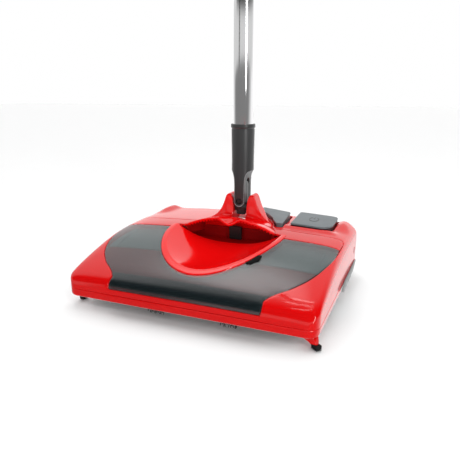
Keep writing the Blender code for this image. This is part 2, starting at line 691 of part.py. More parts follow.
def make_release_latch():
    latch = add_mesh("release_latch", softened(block((-8.5, 36.5, 50.2), (8.5, 40.1, 68)), 0.8, 1),
                     "black_plastic", (0, 36.5, 57))
    join(latch, block((-4, 38, 53), (4, 59, 57)), "arm")


def make_wheels():
    for name, side in (("left", -1), ("right", 1)):
        centre = (side * 111, REAR_WHEEL_Y, REAR_WHEEL_RADIUS)
        hub = [(2.8, -7), (6, -7), (6, -4), (13.4, -4), (15.6, -6), (15.6, 6), (13.4, 4), (6, 4),
               (6, 7), (2.8, 7)]
        wheel = turned(hub, centre, "X", 24, hollow=True)
        add_mesh(f"rear_wheel_{name}", wheel, "charcoal_plastic", centre)
        tyre = [(15.9, -6), (17.2, -6), (REAR_WHEEL_RADIUS, -4), (REAR_WHEEL_RADIUS, 4), (17.2, 6),
                (15.9, 6)]
        add_mesh(f"rear_tyre_{name}", turned(tyre, centre, "X", 24, hollow=True), "black_rubber", centre)
        add_mesh(f"rear_axle_{name}", rod(2.5, -12, 12, centre, "X", 12), "steel")
        centre = (side * 133.5, ROLLER_Y, ROLLER_RADIUS)
        ring = [(1.6, -2.8), (6, -2.8), (ROLLER_RADIUS, -1.8), (ROLLER_RADIUS, 1.8), (6, 2.8), (1.6, 2.8)]
        roller = turned(ring, centre, "X", 20, hollow=True)
        add_mesh(f"front_roller_{name}", roller, "black_plastic", centre)
        x = centre[0]
        housing = block((x - 3.6, ROLLER_Y - 8.6, 3.4), (x + 3.6, ROLLER_Y + 8.6, 19))
        fork = add_mesh(f"roller_fork_{name}", housing, "charcoal_plastic")
        cut(fork, block((x - 3.1, ROLLER_Y - 7.7, 0), (x + 3.1, ROLLER_Y + 7.7, 15)), "slot")
        join(fork, rod(1.3, -3.4, 3.4, centre, "X", 12), "pin")


def make_corners_and_bumpers():
    """The two corner feet with their bristles, the left one tucked further in, and the side strips."""
    feet = {
        "left": (((-140, -105), (-133, -106), (-132, -95.5), (-139.5, -94.5)),
                 ((-139.6, -103), (-134.6, -103.6), (-133.6, -97.2), (-138.8, -96.4)),
                 ((-140, -103.4), (-134.2, -104), (-133.2, -97), (-139.2, -96))),
        "right": (((120, -113), (137, -115), (142, -109), (138, -100)),
                  ((136, -115.5), (142, -116), (143.5, -112.5), (139, -109)),
                  ((136, -112.5), (142.4, -118), (146.4, -114), (140, -108)))}
    for name, (top, low, brush) in feet.items():
        arm = loft([[(*p, BASE_BOTTOM - GAP) for p in top], [(*p, 5.6) for p in low]])
        add_mesh(f"corner_arm_{name}", arm, "red_plastic")
        bristles = loft([[(*p, 0) for p in brush], [(*p, 5.3) for p in brush]])
        add_mesh(f"corner_brush_{name}", bristles, "black_bristle")
    for name, side in (("left", -1), ("right", 1)):
        x0, x1 = sorted((side * 145.3, side * 147.3))
        strip = softened(block((x0, 2, 14.6), (x1, 106, 20.6)), 0.7, 1)
        add_mesh(f"side_bumper_{name}", strip, "bumper_grey")


# ---- handle -------------------------------------------------------------------------------
def make_knuckle():
    bar = rounded([(-6.5, 79), (6.5, 79), (6.5, 123.2), (-6.5, 123.2)], [3, 3, 6.4, 6.4], 5)
    knuckle = add_mesh("knuckle", softened(prism(bar, HANDLE_Y - 5.5, HANDLE_Y + 5.5, "Y"), 0.6, 1, 60),
                       "charcoal_plastic", (0, HANDLE_Y, TILT_Z))
    join(knuckle, rod(6, -8.8, 8.8, (0, HANDLE_Y, TILT_Z), "X", 20), "barrel")
    cut(knuckle, rod(3.3, -30, 30, (0, HANDLE_Y, TILT_Z), "X"), "tilt_hole")
    cut(knuckle, rod(3.5, -30, 30, (0, HANDLE_Y, SWING_Z), "Y"), "swing_hole")
    add_mesh("tilt_pin", rod(3, -20, 20, (0, HANDLE_Y, TILT_Z), "X"), "steel")


def make_collar():
    centre = (0, HANDLE_Y, 0)
    profile = [(13.9, 88), (14.1, 138), (14.8, 189), (14.4, 189.6), (14.4, 190.6), (15.5, 191.2),
               (15.5, 195.4), (15.0, COLLAR_TOP)]
    collar = add_mesh("fork_collar", turned(profile, centre, "Z", 32), "charcoal_plastic",
                      (0, HANDLE_Y, SWING_Z))
    cut(collar, rod(TUBE_RADIUS + GAP, 160, 210, centre, "Z", 24), "socket")
    for name, side in (("right", 1), ("left", -1)):
        flat = [(8, 80), (8, 124), (8.5, 129), (10, 133.5), (12.4, 136.8), (20, 138), (20, 80)]
        cut(collar, prism([(side * x, z) for x, z in flat], 40, 86, "Y"), name)
    end = [(8 * math.cos(a), SWING_Z - 8 * math.sin(a)) for a in (math.pi * k / 10 for k in range(11))]
    below = [(-20, SWING_Z), (-20, 80), (20, 80), (20, SWING_Z)]
    cut(collar, prism(below + end, 40, 86, "Y"), "prong_ends")
    arch = [(HANDLE_Y + 6.3 * math.cos(a), 121.5 + 6.3 * math.sin(a))
            for a in (math.pi * k / 10 for k in range(11))]
    slot = [(HANDLE_Y - 6.3, 70), (HANDLE_Y + 6.3, 70)] + arch
    cut(collar, prism(slot, -30, 30, "X"), "slot")
    cut(collar, rod(3.5, -30, 30, (0, HANDLE_Y, SWING_Z), "Y"), "pin_hole")
    add_mesh("swing_pin", rod(3.2, -12.4, 12.4, (0, HANDLE_Y, SWING_Z), "Y"), "steel")


def make_tubes():
    centre = (0, HANDLE_Y, 0)
    inner = TUBE_RADIUS - TUBE_WALL
    ends = (160 + GAP, *TUBE_JOINTS, HANDLE_TOP - 42)
    for name, low, high in zip(("lower", "middle", "upper"), ends, ends[1:]):
        add_mesh(f"{name}_tube", tube(TUBE_RADIUS, inner, low, high - GAP, centre), "brushed_aluminium")
    for name, height in zip(("lower", "upper"), TUBE_JOINTS):
        r = TUBE_RADIUS + GAP
        ring = [(r, -12), (r + 1.1, -12), (r + 1.4, -11), (r + 1.4, 11), (r + 1.1, 12), (r, 12)]
        add_mesh(f"{name}_joiner", turned(ring, (0, HANDLE_Y, height), "Z", 24, hollow=True),
                 "charcoal_plastic")
    r = TUBE_RADIUS + GAP
    grip = [(r, GRIP_BOTTOM), (r + 2.2, GRIP_BOTTOM), (16.6, GRIP_BOTTOM + 4), (15.6, 1000), (16.4, 1040),
            (16.6, HANDLE_TOP - 46), (16.2, HANDLE_TOP - 42.5), (r, HANDLE_TOP - 42.5)]
    add_mesh("handle_grip", turned(grip, centre, "Z", 24, hollow=True), "black_rubber")
    cap = [(11.3, 1060), (11.3, HANDLE_TOP - 42), (16.2, HANDLE_TOP - 42), (16.2, HANDLE_TOP - 34),
           (14.4, HANDLE_TOP - 14), (10, HANDLE_TOP - 3), (5, HANDLE_TOP)]
    hang = add_mesh("hanging_cap", turned(cap, centre, "Z", 24), "black_plastic")
    cut(hang, rod(6, -30, 30, (0, HANDLE_Y, HANDLE_TOP - 20), "Y", 20), "eye")


def build():
    for old in list(bpy.data.objects):
        bpy.data.objects.remove(old)
    make_upper_cover()
    make_window()
    make_scoop_frame()
    make_yoke()
    make_grip_pocket()
    make_base_tray()
    make_screws()
    make_brush_hood()
    make_brush()
    make_motor()
    make_belt()
    make_dust_tray()
    make_electrics()
    make_pedal_bracket()
    make_pedals()
    make_release_latch()
    make_wheels()
    make_corners_and_bumpers()
    make_knuckle()
    make_collar()
    make_tubes()


build()
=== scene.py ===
"""Looks of the cordless carpet sweeper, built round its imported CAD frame.

Shapes are worked out in millimetres in the head's own design space: x across, z up from the
floor, and y from front (-120) to rear (+120). metres() turns such points into the frame's metres.
"""
import json
import math

import bmesh
import bpy
import numpy as np
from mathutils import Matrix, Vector
from mathutils.geometry import delaunay_2d_cdt


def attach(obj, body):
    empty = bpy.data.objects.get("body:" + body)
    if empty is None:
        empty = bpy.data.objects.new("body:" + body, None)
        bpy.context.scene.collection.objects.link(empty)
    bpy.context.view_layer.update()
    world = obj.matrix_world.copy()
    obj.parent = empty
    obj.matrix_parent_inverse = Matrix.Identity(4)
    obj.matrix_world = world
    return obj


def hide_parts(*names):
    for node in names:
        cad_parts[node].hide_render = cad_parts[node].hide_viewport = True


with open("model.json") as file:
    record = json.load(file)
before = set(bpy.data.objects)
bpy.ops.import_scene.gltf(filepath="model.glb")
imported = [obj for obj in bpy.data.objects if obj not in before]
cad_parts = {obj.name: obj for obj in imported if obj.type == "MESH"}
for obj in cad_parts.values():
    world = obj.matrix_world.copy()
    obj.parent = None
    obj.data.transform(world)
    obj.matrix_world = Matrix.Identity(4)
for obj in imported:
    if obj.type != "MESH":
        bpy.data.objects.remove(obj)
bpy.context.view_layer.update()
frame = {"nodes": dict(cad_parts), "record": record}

MM = 0.001
ORIGIN_Y = 4.5                # the frame's origin stands this far behind the design's y = 0
SIDES = (("right", 1), ("left", -1))

# ---- driving dimensions, as in the CAD ----------------------------------------------------
HALF_LENGTH = 120.0
HALF_WIDTH_FRONT, HALF_WIDTH_REAR = 143.0, 145.0
CORNER_RADIUS = 12.0
REAR_BULGE = 9.0
BASE_BOTTOM, SEAM = 11.5, 21.0
WALL = 2.2
EDGE_POWER = 14.0
CROWN = 0.10
MIDDLE_HALF_WIDTH, MIDDLE_RISE = 144.5, 50.0
SHOULDER_X, SHOULDER_WIDTH, SHOULDER_RISE = 129.0, 9.0, 5.0
BROW_RISE = 2.0
SEAM_GAP = 0.3
INSERT_FRONT_Z = 27.0
INSERT_ROLL, INSERT_CORNER, INSERT_SPACING = 0.6, 1.6, 2.6
COVER_ROLL, COVER_CORNER, COVER_SPACING = 0.7, 2.0, 3.2
WINDOW_REAR_Y, PANEL_LINE_Y, COVER_NOTCH_Y = 1.0, 33.0, 84.6
SCOOP_HALF_WIDTH, SCOOP_LENGTH, SCOOP_REAR_Y, SCOOP_POWER = 75.0, 106.0, 12.0, 1.9
BRUSH_Y, BRUSH_Z, BRUSH_RADIUS = -82.0, 19.6, 19.0
REAR_WHEEL = (111.0, 97.0, 18.0)
ROLLER = (133.5, -38.0, 7.0)
PEDAL_TOP, PEDAL_LEVEL_X, PEDAL_FALL, PEDAL_RISE, PEDAL_PIN_Y = 76.6, 20.0, 0.00035, 0.025, 57.0
HANDLE_Y, TILT_Z, SWING_Z = 63.0, 89.0, 98.0
TUBE_RADIUS, COLLAR_TOP = 12.7, 196.0
TUBE_JOINTS = (452.0, 742.0)
GRIP_BOTTOM, HANDLE_TOP = 975.0, 1128.0

ROOF_LINE = ((-120, 21), (-119.4, 29), (-116, 35.5), (-108, 41), (-99, 45.5), (-81, 52.5),
             (-61, 59), (-41, 64.5), (-19, 68.5), (5, 71), (33, 72), (63, 71.5), (95, 70.3),
             (110, 69), (116, 65.5), (119.3, 56), (119.8, 40), (120, 21))
INSERT_EDGE = ((87, -111), (88.5, -109), (92.5, -104.5), (99.5, -98.5), (108, -92), (116, -83.5),
               (124, -72.5), (131, -57), (136.5, -38), (139.5, -18), (140.5, 2),
               (140.5, 24), (139.4, 29.6), (135, PANEL_LINE_Y))
YOKE_FRONT_Y, YOKE_UNDERSIDE, YOKE_ROLL = 13.4, 63.0, 0.4
BEAK_HALF_WIDTH, BEAK_DIP = 14.0, 8.5
HORN_RISE = 30.0              # about how far the horns stand above the bridge's plate
YOKE_EDGE = ((60, YOKE_FRONT_Y), (57, 24), (50.5, 36), (46.5, 50), (39, 66), (25, 84))
ARCH_RISE = ((YOKE_FRONT_Y, 14.5), (20, 13), (30, 10.5), (42, 7.5), (50, 6), (54, 2.4), (84, 1.2))
POWER_CORNERS = ((68.8, 51.5), (119.8, 51.5), (119.8, 110), (67.8, 110))
POWER_RADII = (3, 20, 8, 4)
RELEASE_CORNERS = ((52.5, 44.5), (60.5, 44.5), (56, 102), (13, 115), (13, 99), (22, 95), (30, 87),
                   (43.5, 68.5), (47.5, 58))
RELEASE_CAP_CORNERS = RELEASE_CORNERS[:4] + ((13, 98), (19.4, 93.6), (27.4, 85.8), (41, 67.6), (45, 57.2))
RELEASE_RADII = (1.5, 1.5, 4, 3, 3, 3, 3, 4, 4)
PEDAL_SLOT = 1.5


# ---- curves and outlines ------------------------------------------------------------------
def metres(points):
    """Design millimetres to frame metres."""
    return (np.asarray(points, float) - (0, ORIGIN_Y, 0)) * MM


def smooth_curve(points, steps=8):
    """A centripetal Catmull-Rom curve through the points."""
    pts = np.asarray(points, float)
    pts = np.vstack([2 * pts[0] - pts[1], pts, 2 * pts[-1] - pts[-2]])
    out = []
    for a, b, c, d in zip(pts, pts[1:], pts[2:], pts[3:]):
        ta, tb, tc = (max(np.linalg.norm(q - p), 1e-6) ** 0.5 for p, q in ((a, b), (b, c), (c, d)))
        m1 = (c - b) + tb * ((b - a) / ta - (c - a) / (ta + tb))
        m2 = (c - b) + tb * ((d - c) / tc - (d - b) / (tb + tc))
        for k in range(steps):
            t = k / steps
            out.append((2 * t ** 3 - 3 * t ** 2 + 1) * b + (t ** 3 - 2 * t ** 2 + t) * m1
                       + (3 * t ** 2 - 2 * t ** 3) * c + (t ** 3 - t ** 2) * m2)
    out.append(pts[-2])
    return np.array(out)


def spaced(points, spacing, closed=True):
    """The same line with its points an even distance apart."""
    pts = np.asarray(points, float)
    if closed:
        pts = np.vstack([pts, pts[:1]])
    run = np.concatenate([[0], np.cumsum(np.linalg.norm(np.diff(pts, axis=0), axis=1))])
    count = max(4, round(run[-1] / spacing))
    at = np.linspace(0, run[-1], count + 1)
    if closed:
        at = at[:-1]
    return np.stack([np.interp(at, run, pts[:, k]) for k in range(pts.shape[1])], axis=1)


def rounded(corners, radii, steps=6):
    """A closed polygon with its corners rounded."""
    count = len(corners)
    radii = radii if isinstance(radii, (list, tuple)) else [radii] * count
    out = []
    for i in range(count):
        before, here, after = (Vector(corners[k % count]) for k in (i - 1, i, i + 1))
        into, away = (before - here).normalized(), (after - here).normalized()
        half = math.acos(max(-1, min(1, into.dot(away)))) / 2
        reach = radii[i] / math.tan(half)
        start, end = here + into * reach, here + away * reach
        for k in range(steps + 1):
            t = k / steps
            out.append(start * (1 - t) ** 2 + here * 2 * t * (1 - t) + end * t ** 2)
    return np.array([tuple(p) for p in out])


def offset(loop, distance):
    """A closed loop of even points moved outwards, or inwards by a negative distance."""
    area = np.sum(loop[:, 0] * np.roll(loop[:, 1], -1) - np.roll(loop[:, 0], -1) * loop[:, 1])
    along = np.roll(loop, -1, axis=0) - np.roll(loop, 1, axis=0)
    along /= np.maximum(np.linalg.norm(along, axis=1, keepdims=True), 1e-9)
    normal = np.stack([along[:, 1], -along[:, 0]], axis=1) * math.copysign(1, area)
    return loop + normal * distance


def smooth_step(value, low, high):
    """0 below low, 1 above high, and a smooth rise between them."""
    t = np.clip((np.asarray(value, float) - low) / (high - low), 0, 1)
    return t * t * (3 - 2 * t)


def mirrored(points):
    """A closed outline from its right-hand half, which runs front to rear."""
    half = np.asarray(points, float)
    return np.vstack([half, half[::-1] * (-1, 1)])


# ---- the head's outer skin ----------------------------------------------------------------
def half_width(y):
    """Half the head's width, with its corners rounded."""
    y = np.asarray(y, float)
    width = HALF_WIDTH_FRONT + (HALF_WIDTH_REAR - HALF_WIDTH_FRONT) * (y + HALF_LENGTH) / (2 * HALF_LENGTH)
    into = np.clip(np.abs(y) - (HALF_LENGTH - CORNER_RADIUS), 0, CORNER_RADIUS)
    return width - (CORNER_RADIUS - np.sqrt(CORNER_RADIUS ** 2 - into ** 2))


def bulge(x, y):
    """How far the rear part of the head reaches back beyond its straight sides."""
    return REAR_BULGE * (1 - (x / HALF_WIDTH_REAR) ** 2) * smooth_step(y, 40, HALF_LENGTH)


def shoulder(x, y):
    """The two raised rear corners."""
    across = np.exp(-((np.abs(x) - SHOULDER_X) / SHOULDER_WIDTH) ** 2)
    return SHOULDER_RISE * across * smooth_step(y, 60, 95) * (1 - smooth_step(y, 112, 119))


def brow(x, y):
    """The low swelling of the deck in front of the pedals."""
    along = smooth_step(y, 42, 48) * (1 - smooth_step(y, 54, 60))
    return BROW_RISE * along * smooth_step(x, 54, 62) * (1 - smooth_step(x, 118, 130))


ROOF = smooth_curve(ROOF_LINE, 24)
ROOF_Y = np.maximum.accumulate(ROOF[:, 0])
ROOF_RUN = np.concatenate([[0], np.cumsum(np.linalg.norm(np.diff(ROOF, axis=0), axis=1))])
LENGTH_V = ROOF_RUN[-1]


def cross_section():
    """Run, share of the half width and share of the height along half a cross section."""
    turn = 0.5 ** (1 / EDGE_POWER)
    top = np.linspace(0, turn, 400)
    side = np.linspace(turn, 0, 200)[1:]
    share = np.concatenate([top, (1 - side ** EDGE_POWER) ** (1 / EDGE_POWER)])
    height = np.concatenate([(1 - top ** EDGE_POWER) ** (1 / EDGE_POWER), side])
    x, z = share * MIDDLE_HALF_WIDTH, MIDDLE_RISE * (1 - CROWN * share ** 2) * height
    run = np.concatenate([[0], np.cumsum(np.hypot(np.diff(x), np.diff(z)))])
    return run, share, height


CROSS_RUN, CROSS_SHARE, CROSS_HEIGHT = cross_section()
LENGTH_U = CROSS_RUN[-1]


def skin(u, v):
    """The point of the skin at a run u across from the middle and a run v from the front seam."""
    u, v = np.asarray(u, float), np.clip(v, 0, LENGTH_V)
    y, top = np.interp(v, ROOF_RUN, ROOF_Y), np.interp(v, ROOF_RUN, ROOF[:, 1])
    run = np.clip(np.abs(u), 0, LENGTH_U)
    share, side = np.interp(run, CROSS_RUN, CROSS_SHARE), np.interp(run, CROSS_RUN, CROSS_HEIGHT)
    x = np.sign(u) * share * half_width(y)
    z = SEAM + (top - SEAM) * (1 - CROWN * share ** 2) * side + (shoulder(x, y) + brow(x, y)) * side
    return np.stack([x, y + bulge(x, y), z], axis=-1)


def outward(surface, u, v, step=0.8):
    """Unit normals of a surface, pointing up and away from the object's middle."""
    across = surface(u + step, v) - surface(u - step, v)
    along = surface(u, v + step) - surface(u, v - step)
    normal = np.cross(across, along)
    size = np.linalg.norm(normal, axis=1, keepdims=True)
    here = surface(u, v)
    lean = here - (0, 0, 20)
    normal = np.where(size > 1e-6, normal / np.maximum(size, 1e-9), lean)
    normal /= np.linalg.norm(normal, axis=1, keepdims=True)
    return normal * np.where(np.sum(normal * lean, axis=1, keepdims=True) < 0, -1, 1)


def to_skin(points):
    """Plan points (x, y) of the head as runs (u, v) on its skin."""
    pts = np.asarray(points, float)
    share = np.clip(np.abs(pts[:, 0]) / half_width(pts[:, 1]), 0, 1)
    u = np.sign(pts[:, 0]) * np.interp(share, CROSS_SHARE, CROSS_RUN)
    return np.stack([u, np.interp(pts[:, 1], ROOF_Y, ROOF_RUN)], axis=1)


def roof_z(x, y):
    """Height of the skin over a plan point."""
    y = np.asarray(y, float)
    share = np.clip(np.abs(x) / half_width(y), 0, 1)
    side = (1 - share ** EDGE_POWER) ** (1 / EDGE_POWER)
    top = np.interp(y, ROOF_Y, ROOF[:, 1])
    return SEAM + (top - SEAM) * (1 - CROWN * share ** 2) * side + shoulder(x, y) * side


# ---- making pieces ------------------------------------------------------------------------
def new_object(name, data):
    """An object that holds the data, in the scene."""
    made = bpy.data.objects.new(name, data)
    bpy.context.collection.objects.link(made)
    return made


def bmesh_of(shape):
    """A bmesh of a shape's design points and faces, without faces that repeat."""
    bm = bmesh.new()
    verts = [bm.verts.new(p) for p in metres(shape[0])]
    for face in shape[1]:
        try:
            bm.faces.new([verts[i] for i in face])
        except ValueError:
            continue
    return bm


def mesh_from(name, bm):
    mesh = bpy.data.meshes.new(name)
    bm.to_mesh(mesh)
    bm.free()
    return mesh


def add_piece(name, shape, body, slot, nodes=(), look=None, angle=38):
    """Make a mesh piece from its design points and faces, hang it on its body and hide the CAD nodes it
    replaces.
    """
    bm = bmesh_of(shape)
    bmesh.ops.remove_doubles(bm, verts=bm.verts[:], dist=2e-6)
    bmesh.ops.dissolve_degenerate(bm, edges=bm.edges[:], dist=1e-6)
    bmesh.ops.recalc_face_normals(bm, faces=bm.faces[:])
    return add_bmesh(name, bm, body, slot, nodes, look, angle)


def add_bmesh(name, bm, body, slot, nodes=(), look=None, angle=38):
    mesh = mesh_from(name, bm)
    mesh.shade_smooth()
    mesh.set_sharp_from_angle(angle=math.radians(angle))
    mesh.materials.append(look or LOOKS[slot])
    piece = new_object(name, mesh)
    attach(piece, body)
    if nodes:
        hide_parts(*nodes)
    return piece


def inside(points, loops):
    """Which points lie inside an odd number of the loops."""
    count = np.zeros(len(points), int)
    x, y = points[:, 0][:, None], points[:, 1][:, None]
    for loop in loops:
        x0, y0 = loop[:, 0], loop[:, 1]
        x1, y1 = np.roll(x0, -1), np.roll(y0, -1)
        rise = np.where(y1 == y0, 1e-12, y1 - y0)
        crosses = ((y0 > y) != (y1 > y)) & (x < (x1 - x0) * (y - y0) / rise + x0)
        count += crosses.sum(axis=1)
    return count % 2 == 1


def inner_grid(loops, spacing, clear):
    """Even points inside the outlines, none of them nearer to one than clear."""
    low, high = loops[0].min(axis=0), loops[0].max(axis=0)
    columns, rows = (np.linspace(a, b, max(2, round((b - a) / spacing)) + 1) for a, b in zip(low, high))
    grid = np.stack(np.meshgrid(columns, rows), axis=-1).reshape(-1, 2)
    grid = grid[inside(grid, loops)]
    lines = np.vstack(loops)
    near = []
    for part in np.array_split(grid, max(1, len(grid) // 2000)):
        gaps = part[:, None] - lines[None]
        near.append(np.hypot(gaps[..., 0], gaps[..., 1]).min(axis=1))
    return grid[np.concatenate(near) > clear]


EDGE_SHARES = (0, 0.1, 0.35, 0.7, 1.0)


def panel(name, outer, holes, surface, roll, depth, body, slot, nodes=(), spacing=3.0, edge=1.3):
    """A moulded panel on a surface: rolled edges along its outlines, walls down from them,
    and an inner skin, all closed. Outlines are in the surface's own two runs."""
    loops = [spaced(line, edge) for line in (outer, *holes)]
    points, drops, links, rims = [], [], [], []
    for number, loop in enumerate(loops):
        for share in EDGE_SHARES:
            inset = share * roll
            ring = offset(loop, -inset if number == 0 else inset)
            first, count = len(points), len(ring)
            points += [tuple(p) for p in ring]
            drops += [roll - math.sqrt(max(0, roll ** 2 - (roll - inset) ** 2))] * count
            links += [(first + k, first + (k + 1) % count) for k in range(count)]
            if share == 0:
                rims.append(range(first, first + count))
    grid = inner_grid(loops, spacing, roll + 0.6 * min(spacing, 2 * edge))
    points += [tuple(p) for p in grid]
    drops += [0.0] * len(grid)
    flat = [Vector(p) for p in points]
    made = delaunay_2d_cdt(flat, links, [], 1, 1e-5)
    verts, origins = np.array([tuple(p) for p in made[0]]), made[3]
    triangles = np.array([tuple(t) for t in made[2] or delaunay_2d_cdt(flat, links, [], 0, 1e-5)[2]])
    triangles = triangles[inside(verts[triangles].mean(axis=1), loops)]
    drop = np.array([drops[origin[0]] if origin else 0.0 for origin in origins])
    where = {s: i for i, origin in enumerate(origins) for s in origin}
    base, normal = surface(*verts.T), outward(surface, *verts.T)
    top, under = base - normal * drop[:, None], base - normal * depth
    count = len(verts)
    faces = [tuple(t) for t in triangles] + [tuple(count + i for i in t[::-1]) for t in triangles]
    for rim in rims:
        ring = [where[i] for i in rim]
        faces += [(a, b, count + b, count + a) for a, b in zip(ring, ring[1:] + ring[:1]) if a != b]
    return add_piece(name, (np.vstack([top, under]), faces), body, slot, nodes)


def loft(sections, closed=False, caps=True):
    """Points and faces of equal closed sections joined one after another."""
    rings = [np.asarray(s, float) for s in sections]
    count = len(rings[0])
    faces = []
    pairs = list(zip(range(len(rings)), range(1, len(rings))))
    if closed:
        pairs.append((len(rings) - 1, 0))
    elif caps:
        faces += [tuple(range(count)), tuple((len(rings) - 1) * count + k for k in reversed(range(count)))]
    for a, b in pairs:
        for i in range(count):
            j = (i + 1) % count
            faces.append((a * count + i, a * count + j, b * count + j, b * count + i))
    return np.vstack(rings), faces


def circle(centre, axis, radius, height, steps):
    """Points round a circle at a height along an axis."""
    angles = 2 * np.pi * (np.arange(steps) + 0.5) / steps
    a, b = radius * np.cos(angles), radius * np.sin(angles)
    t = np.full(steps, float(height))
    order = {"Z": (a, b, t), "X": (t, a, b), "Y": (b, t, a)}[axis]
    return np.stack(order, axis=1) + centre


def turned(profile, centre, axis="Z", steps=64, hollow=False):
    """A profile of (radius, height) turned about an axis."""
    return loft([circle(centre, axis, r, t, steps) for r, t in profile], closed=hollow)


def prism(outline, low, high, axis="Z"):
    """An outline carried from low to high along an axis."""
    return loft([np.insert(np.asarray(outline, float), "XYZ".index(axis), t, axis=1) for t in (low, high)])


def block(low, high):
    """A box between two opposite corners."""
    (x0, y0, z0), (x1, y1, z1) = low, high
    return prism([(x0, y0), (x1, y0), (x1, y1), (x0, y1)], z0, z1)


def side_block(side, near, far, low, high):
    """A block on one side of the middle; low and high are (y, z)."""
    x0, x1 = sorted((side * near, side * far))
    return block((x0, *low), (x1, *high))


def together(*parts):
    """Several (points, faces) as one."""
    points, faces, start = [], [], 0
    for some, shape in parts:
        points.append(some)
        faces += [tuple(start + i for i in face) for face in shape]
        start += len(some)
    return np.vstack(points), faces


def plain_object(name, shape):
    bm = bmesh_of(shape)
    bmesh.ops.recalc_face_normals(bm, faces=bm.faces[:])
    return new_object(name, mesh_from(name, bm))


def cuts(*shapes):
    """The steps that take shapes away."""
    return [("DIFFERENCE", shape) for shape in shapes]


def carved(name, shape, steps, bevel=0.0, segments=3, limit=35):
    """The bmesh left after cutting or joining a shape with others, its sharp edges softened.
    steps are (operation, shape)."""
    target = plain_object(name, shape)
    spare = [target]
    for number, (operation, other) in enumerate(steps):
        spare.append(plain_object(f"{name}_tool_{number}", other))
        change = target.modifiers.new(f"step_{number}", "BOOLEAN")
        change.object, change.operation, change.solver = spare[-1], operation, "EXACT"
    if bevel:
        soften = target.modifiers.new("soften", "BEVEL")
        soften.width, soften.segments = bevel * MM, segments
        soften.limit_method, soften.angle_limit = "ANGLE", math.radians(limit)
    bpy.context.view_layer.update()
    bm = bmesh.new()
    bm.from_object(target, bpy.context.evaluated_depsgraph_get())
    for helper in spare:
        bpy.data.objects.remove(helper)
    bmesh.ops.remove_doubles(bm, verts=bm.verts[:], dist=1e-6)
    return bm


# ---- materials ----------------------------------------------------------------------------
def set_inputs(node, inputs):
    """Give a node's inputs their values, or link them from other nodes' outputs."""
    for name, value in inputs.items():
        if isinstance(value, bpy.types.NodeSocket):
            node.id_data.links.new(value, node.inputs[name])
        else:
            node.inputs[name].default_value = value


def add_node(tree, kind, inputs, **settings):
    node = tree.nodes.new(f"ShaderNode{kind}")
    for name, value in settings.items():
        setattr(node, name, value)
    set_inputs(node, inputs)
    return node


TINT_SCALE, ROUGH_SCALE, WAVE_SCALE = 14.0, 60.0, 26.0
ROUGH_VARY = 0.2
GLOSSY_MOULDING = {"vary": 0.04, "grain": 2500, "grain_depth": 0.000003, "wave": 0.00018}


def shade(name, colour, roughness, metallic=0.0, vary=0.12, grain=900.0, grain_depth=0.00002,
          wave=0.0, coat=0.0, coat_roughness=0.05, alpha=1.0, specular=0.5, stretch=(1, 1, 1)):
    """A moulded or drawn surface: colour and roughness wander a little, over a fine grain and,
    where wave is set, a slow unevenness such as glossy mouldings have."""
    made = bpy.data.materials.new(name)
    made.use_nodes = True
    tree = made.node_tree
    shader = tree.nodes["Principled BSDF"]
    set_inputs(shader, {"Metallic": metallic, "Alpha": alpha, "Coat Weight": coat,
                        "Coat Roughness": coat_roughness, "Specular IOR Level": specular})
    place = tree.nodes.new("ShaderNodeTexCoord").outputs["Object"]
    scaled = add_node(tree, "Mapping", {"Scale": stretch, "Vector": place}).outputs["Vector"]

    def noise(size, detail=3.0):
        return add_node(tree, "TexNoise", {"Scale": size, "Detail": detail, "Vector": scaled}).outputs["Fac"]

    darker, lighter = ((*(min(1, c * share) for c in colour), 1) for share in (1 - vary, 1 + vary))
    tint = add_node(tree, "Mix", {}, data_type="RGBA")
    set_inputs(tint, {"A": darker, "B": lighter, "Factor": noise(TINT_SCALE)})
    spread = add_node(tree, "MapRange", {"To Min": roughness * (1 - ROUGH_VARY), "Value": noise(ROUGH_SCALE),
                                         "To Max": roughness * (1 + ROUGH_VARY)})
    bump = add_node(tree, "Bump", {"Strength": 0.5, "Distance": grain_depth, "Height": noise(grain, 2.0)})
    if wave:
        bump = add_node(tree, "Bump", {"Strength": 1.0, "Distance": wave, "Height": noise(WAVE_SCALE, 1.0),
                                       "Normal": bump.outputs["Normal"]})
    set_inputs(shader, {"Base Color": tint.outputs["Result"], "Roughness": spread.outputs["Result"],
                        "Normal": bump.outputs["Normal"]})
    return made


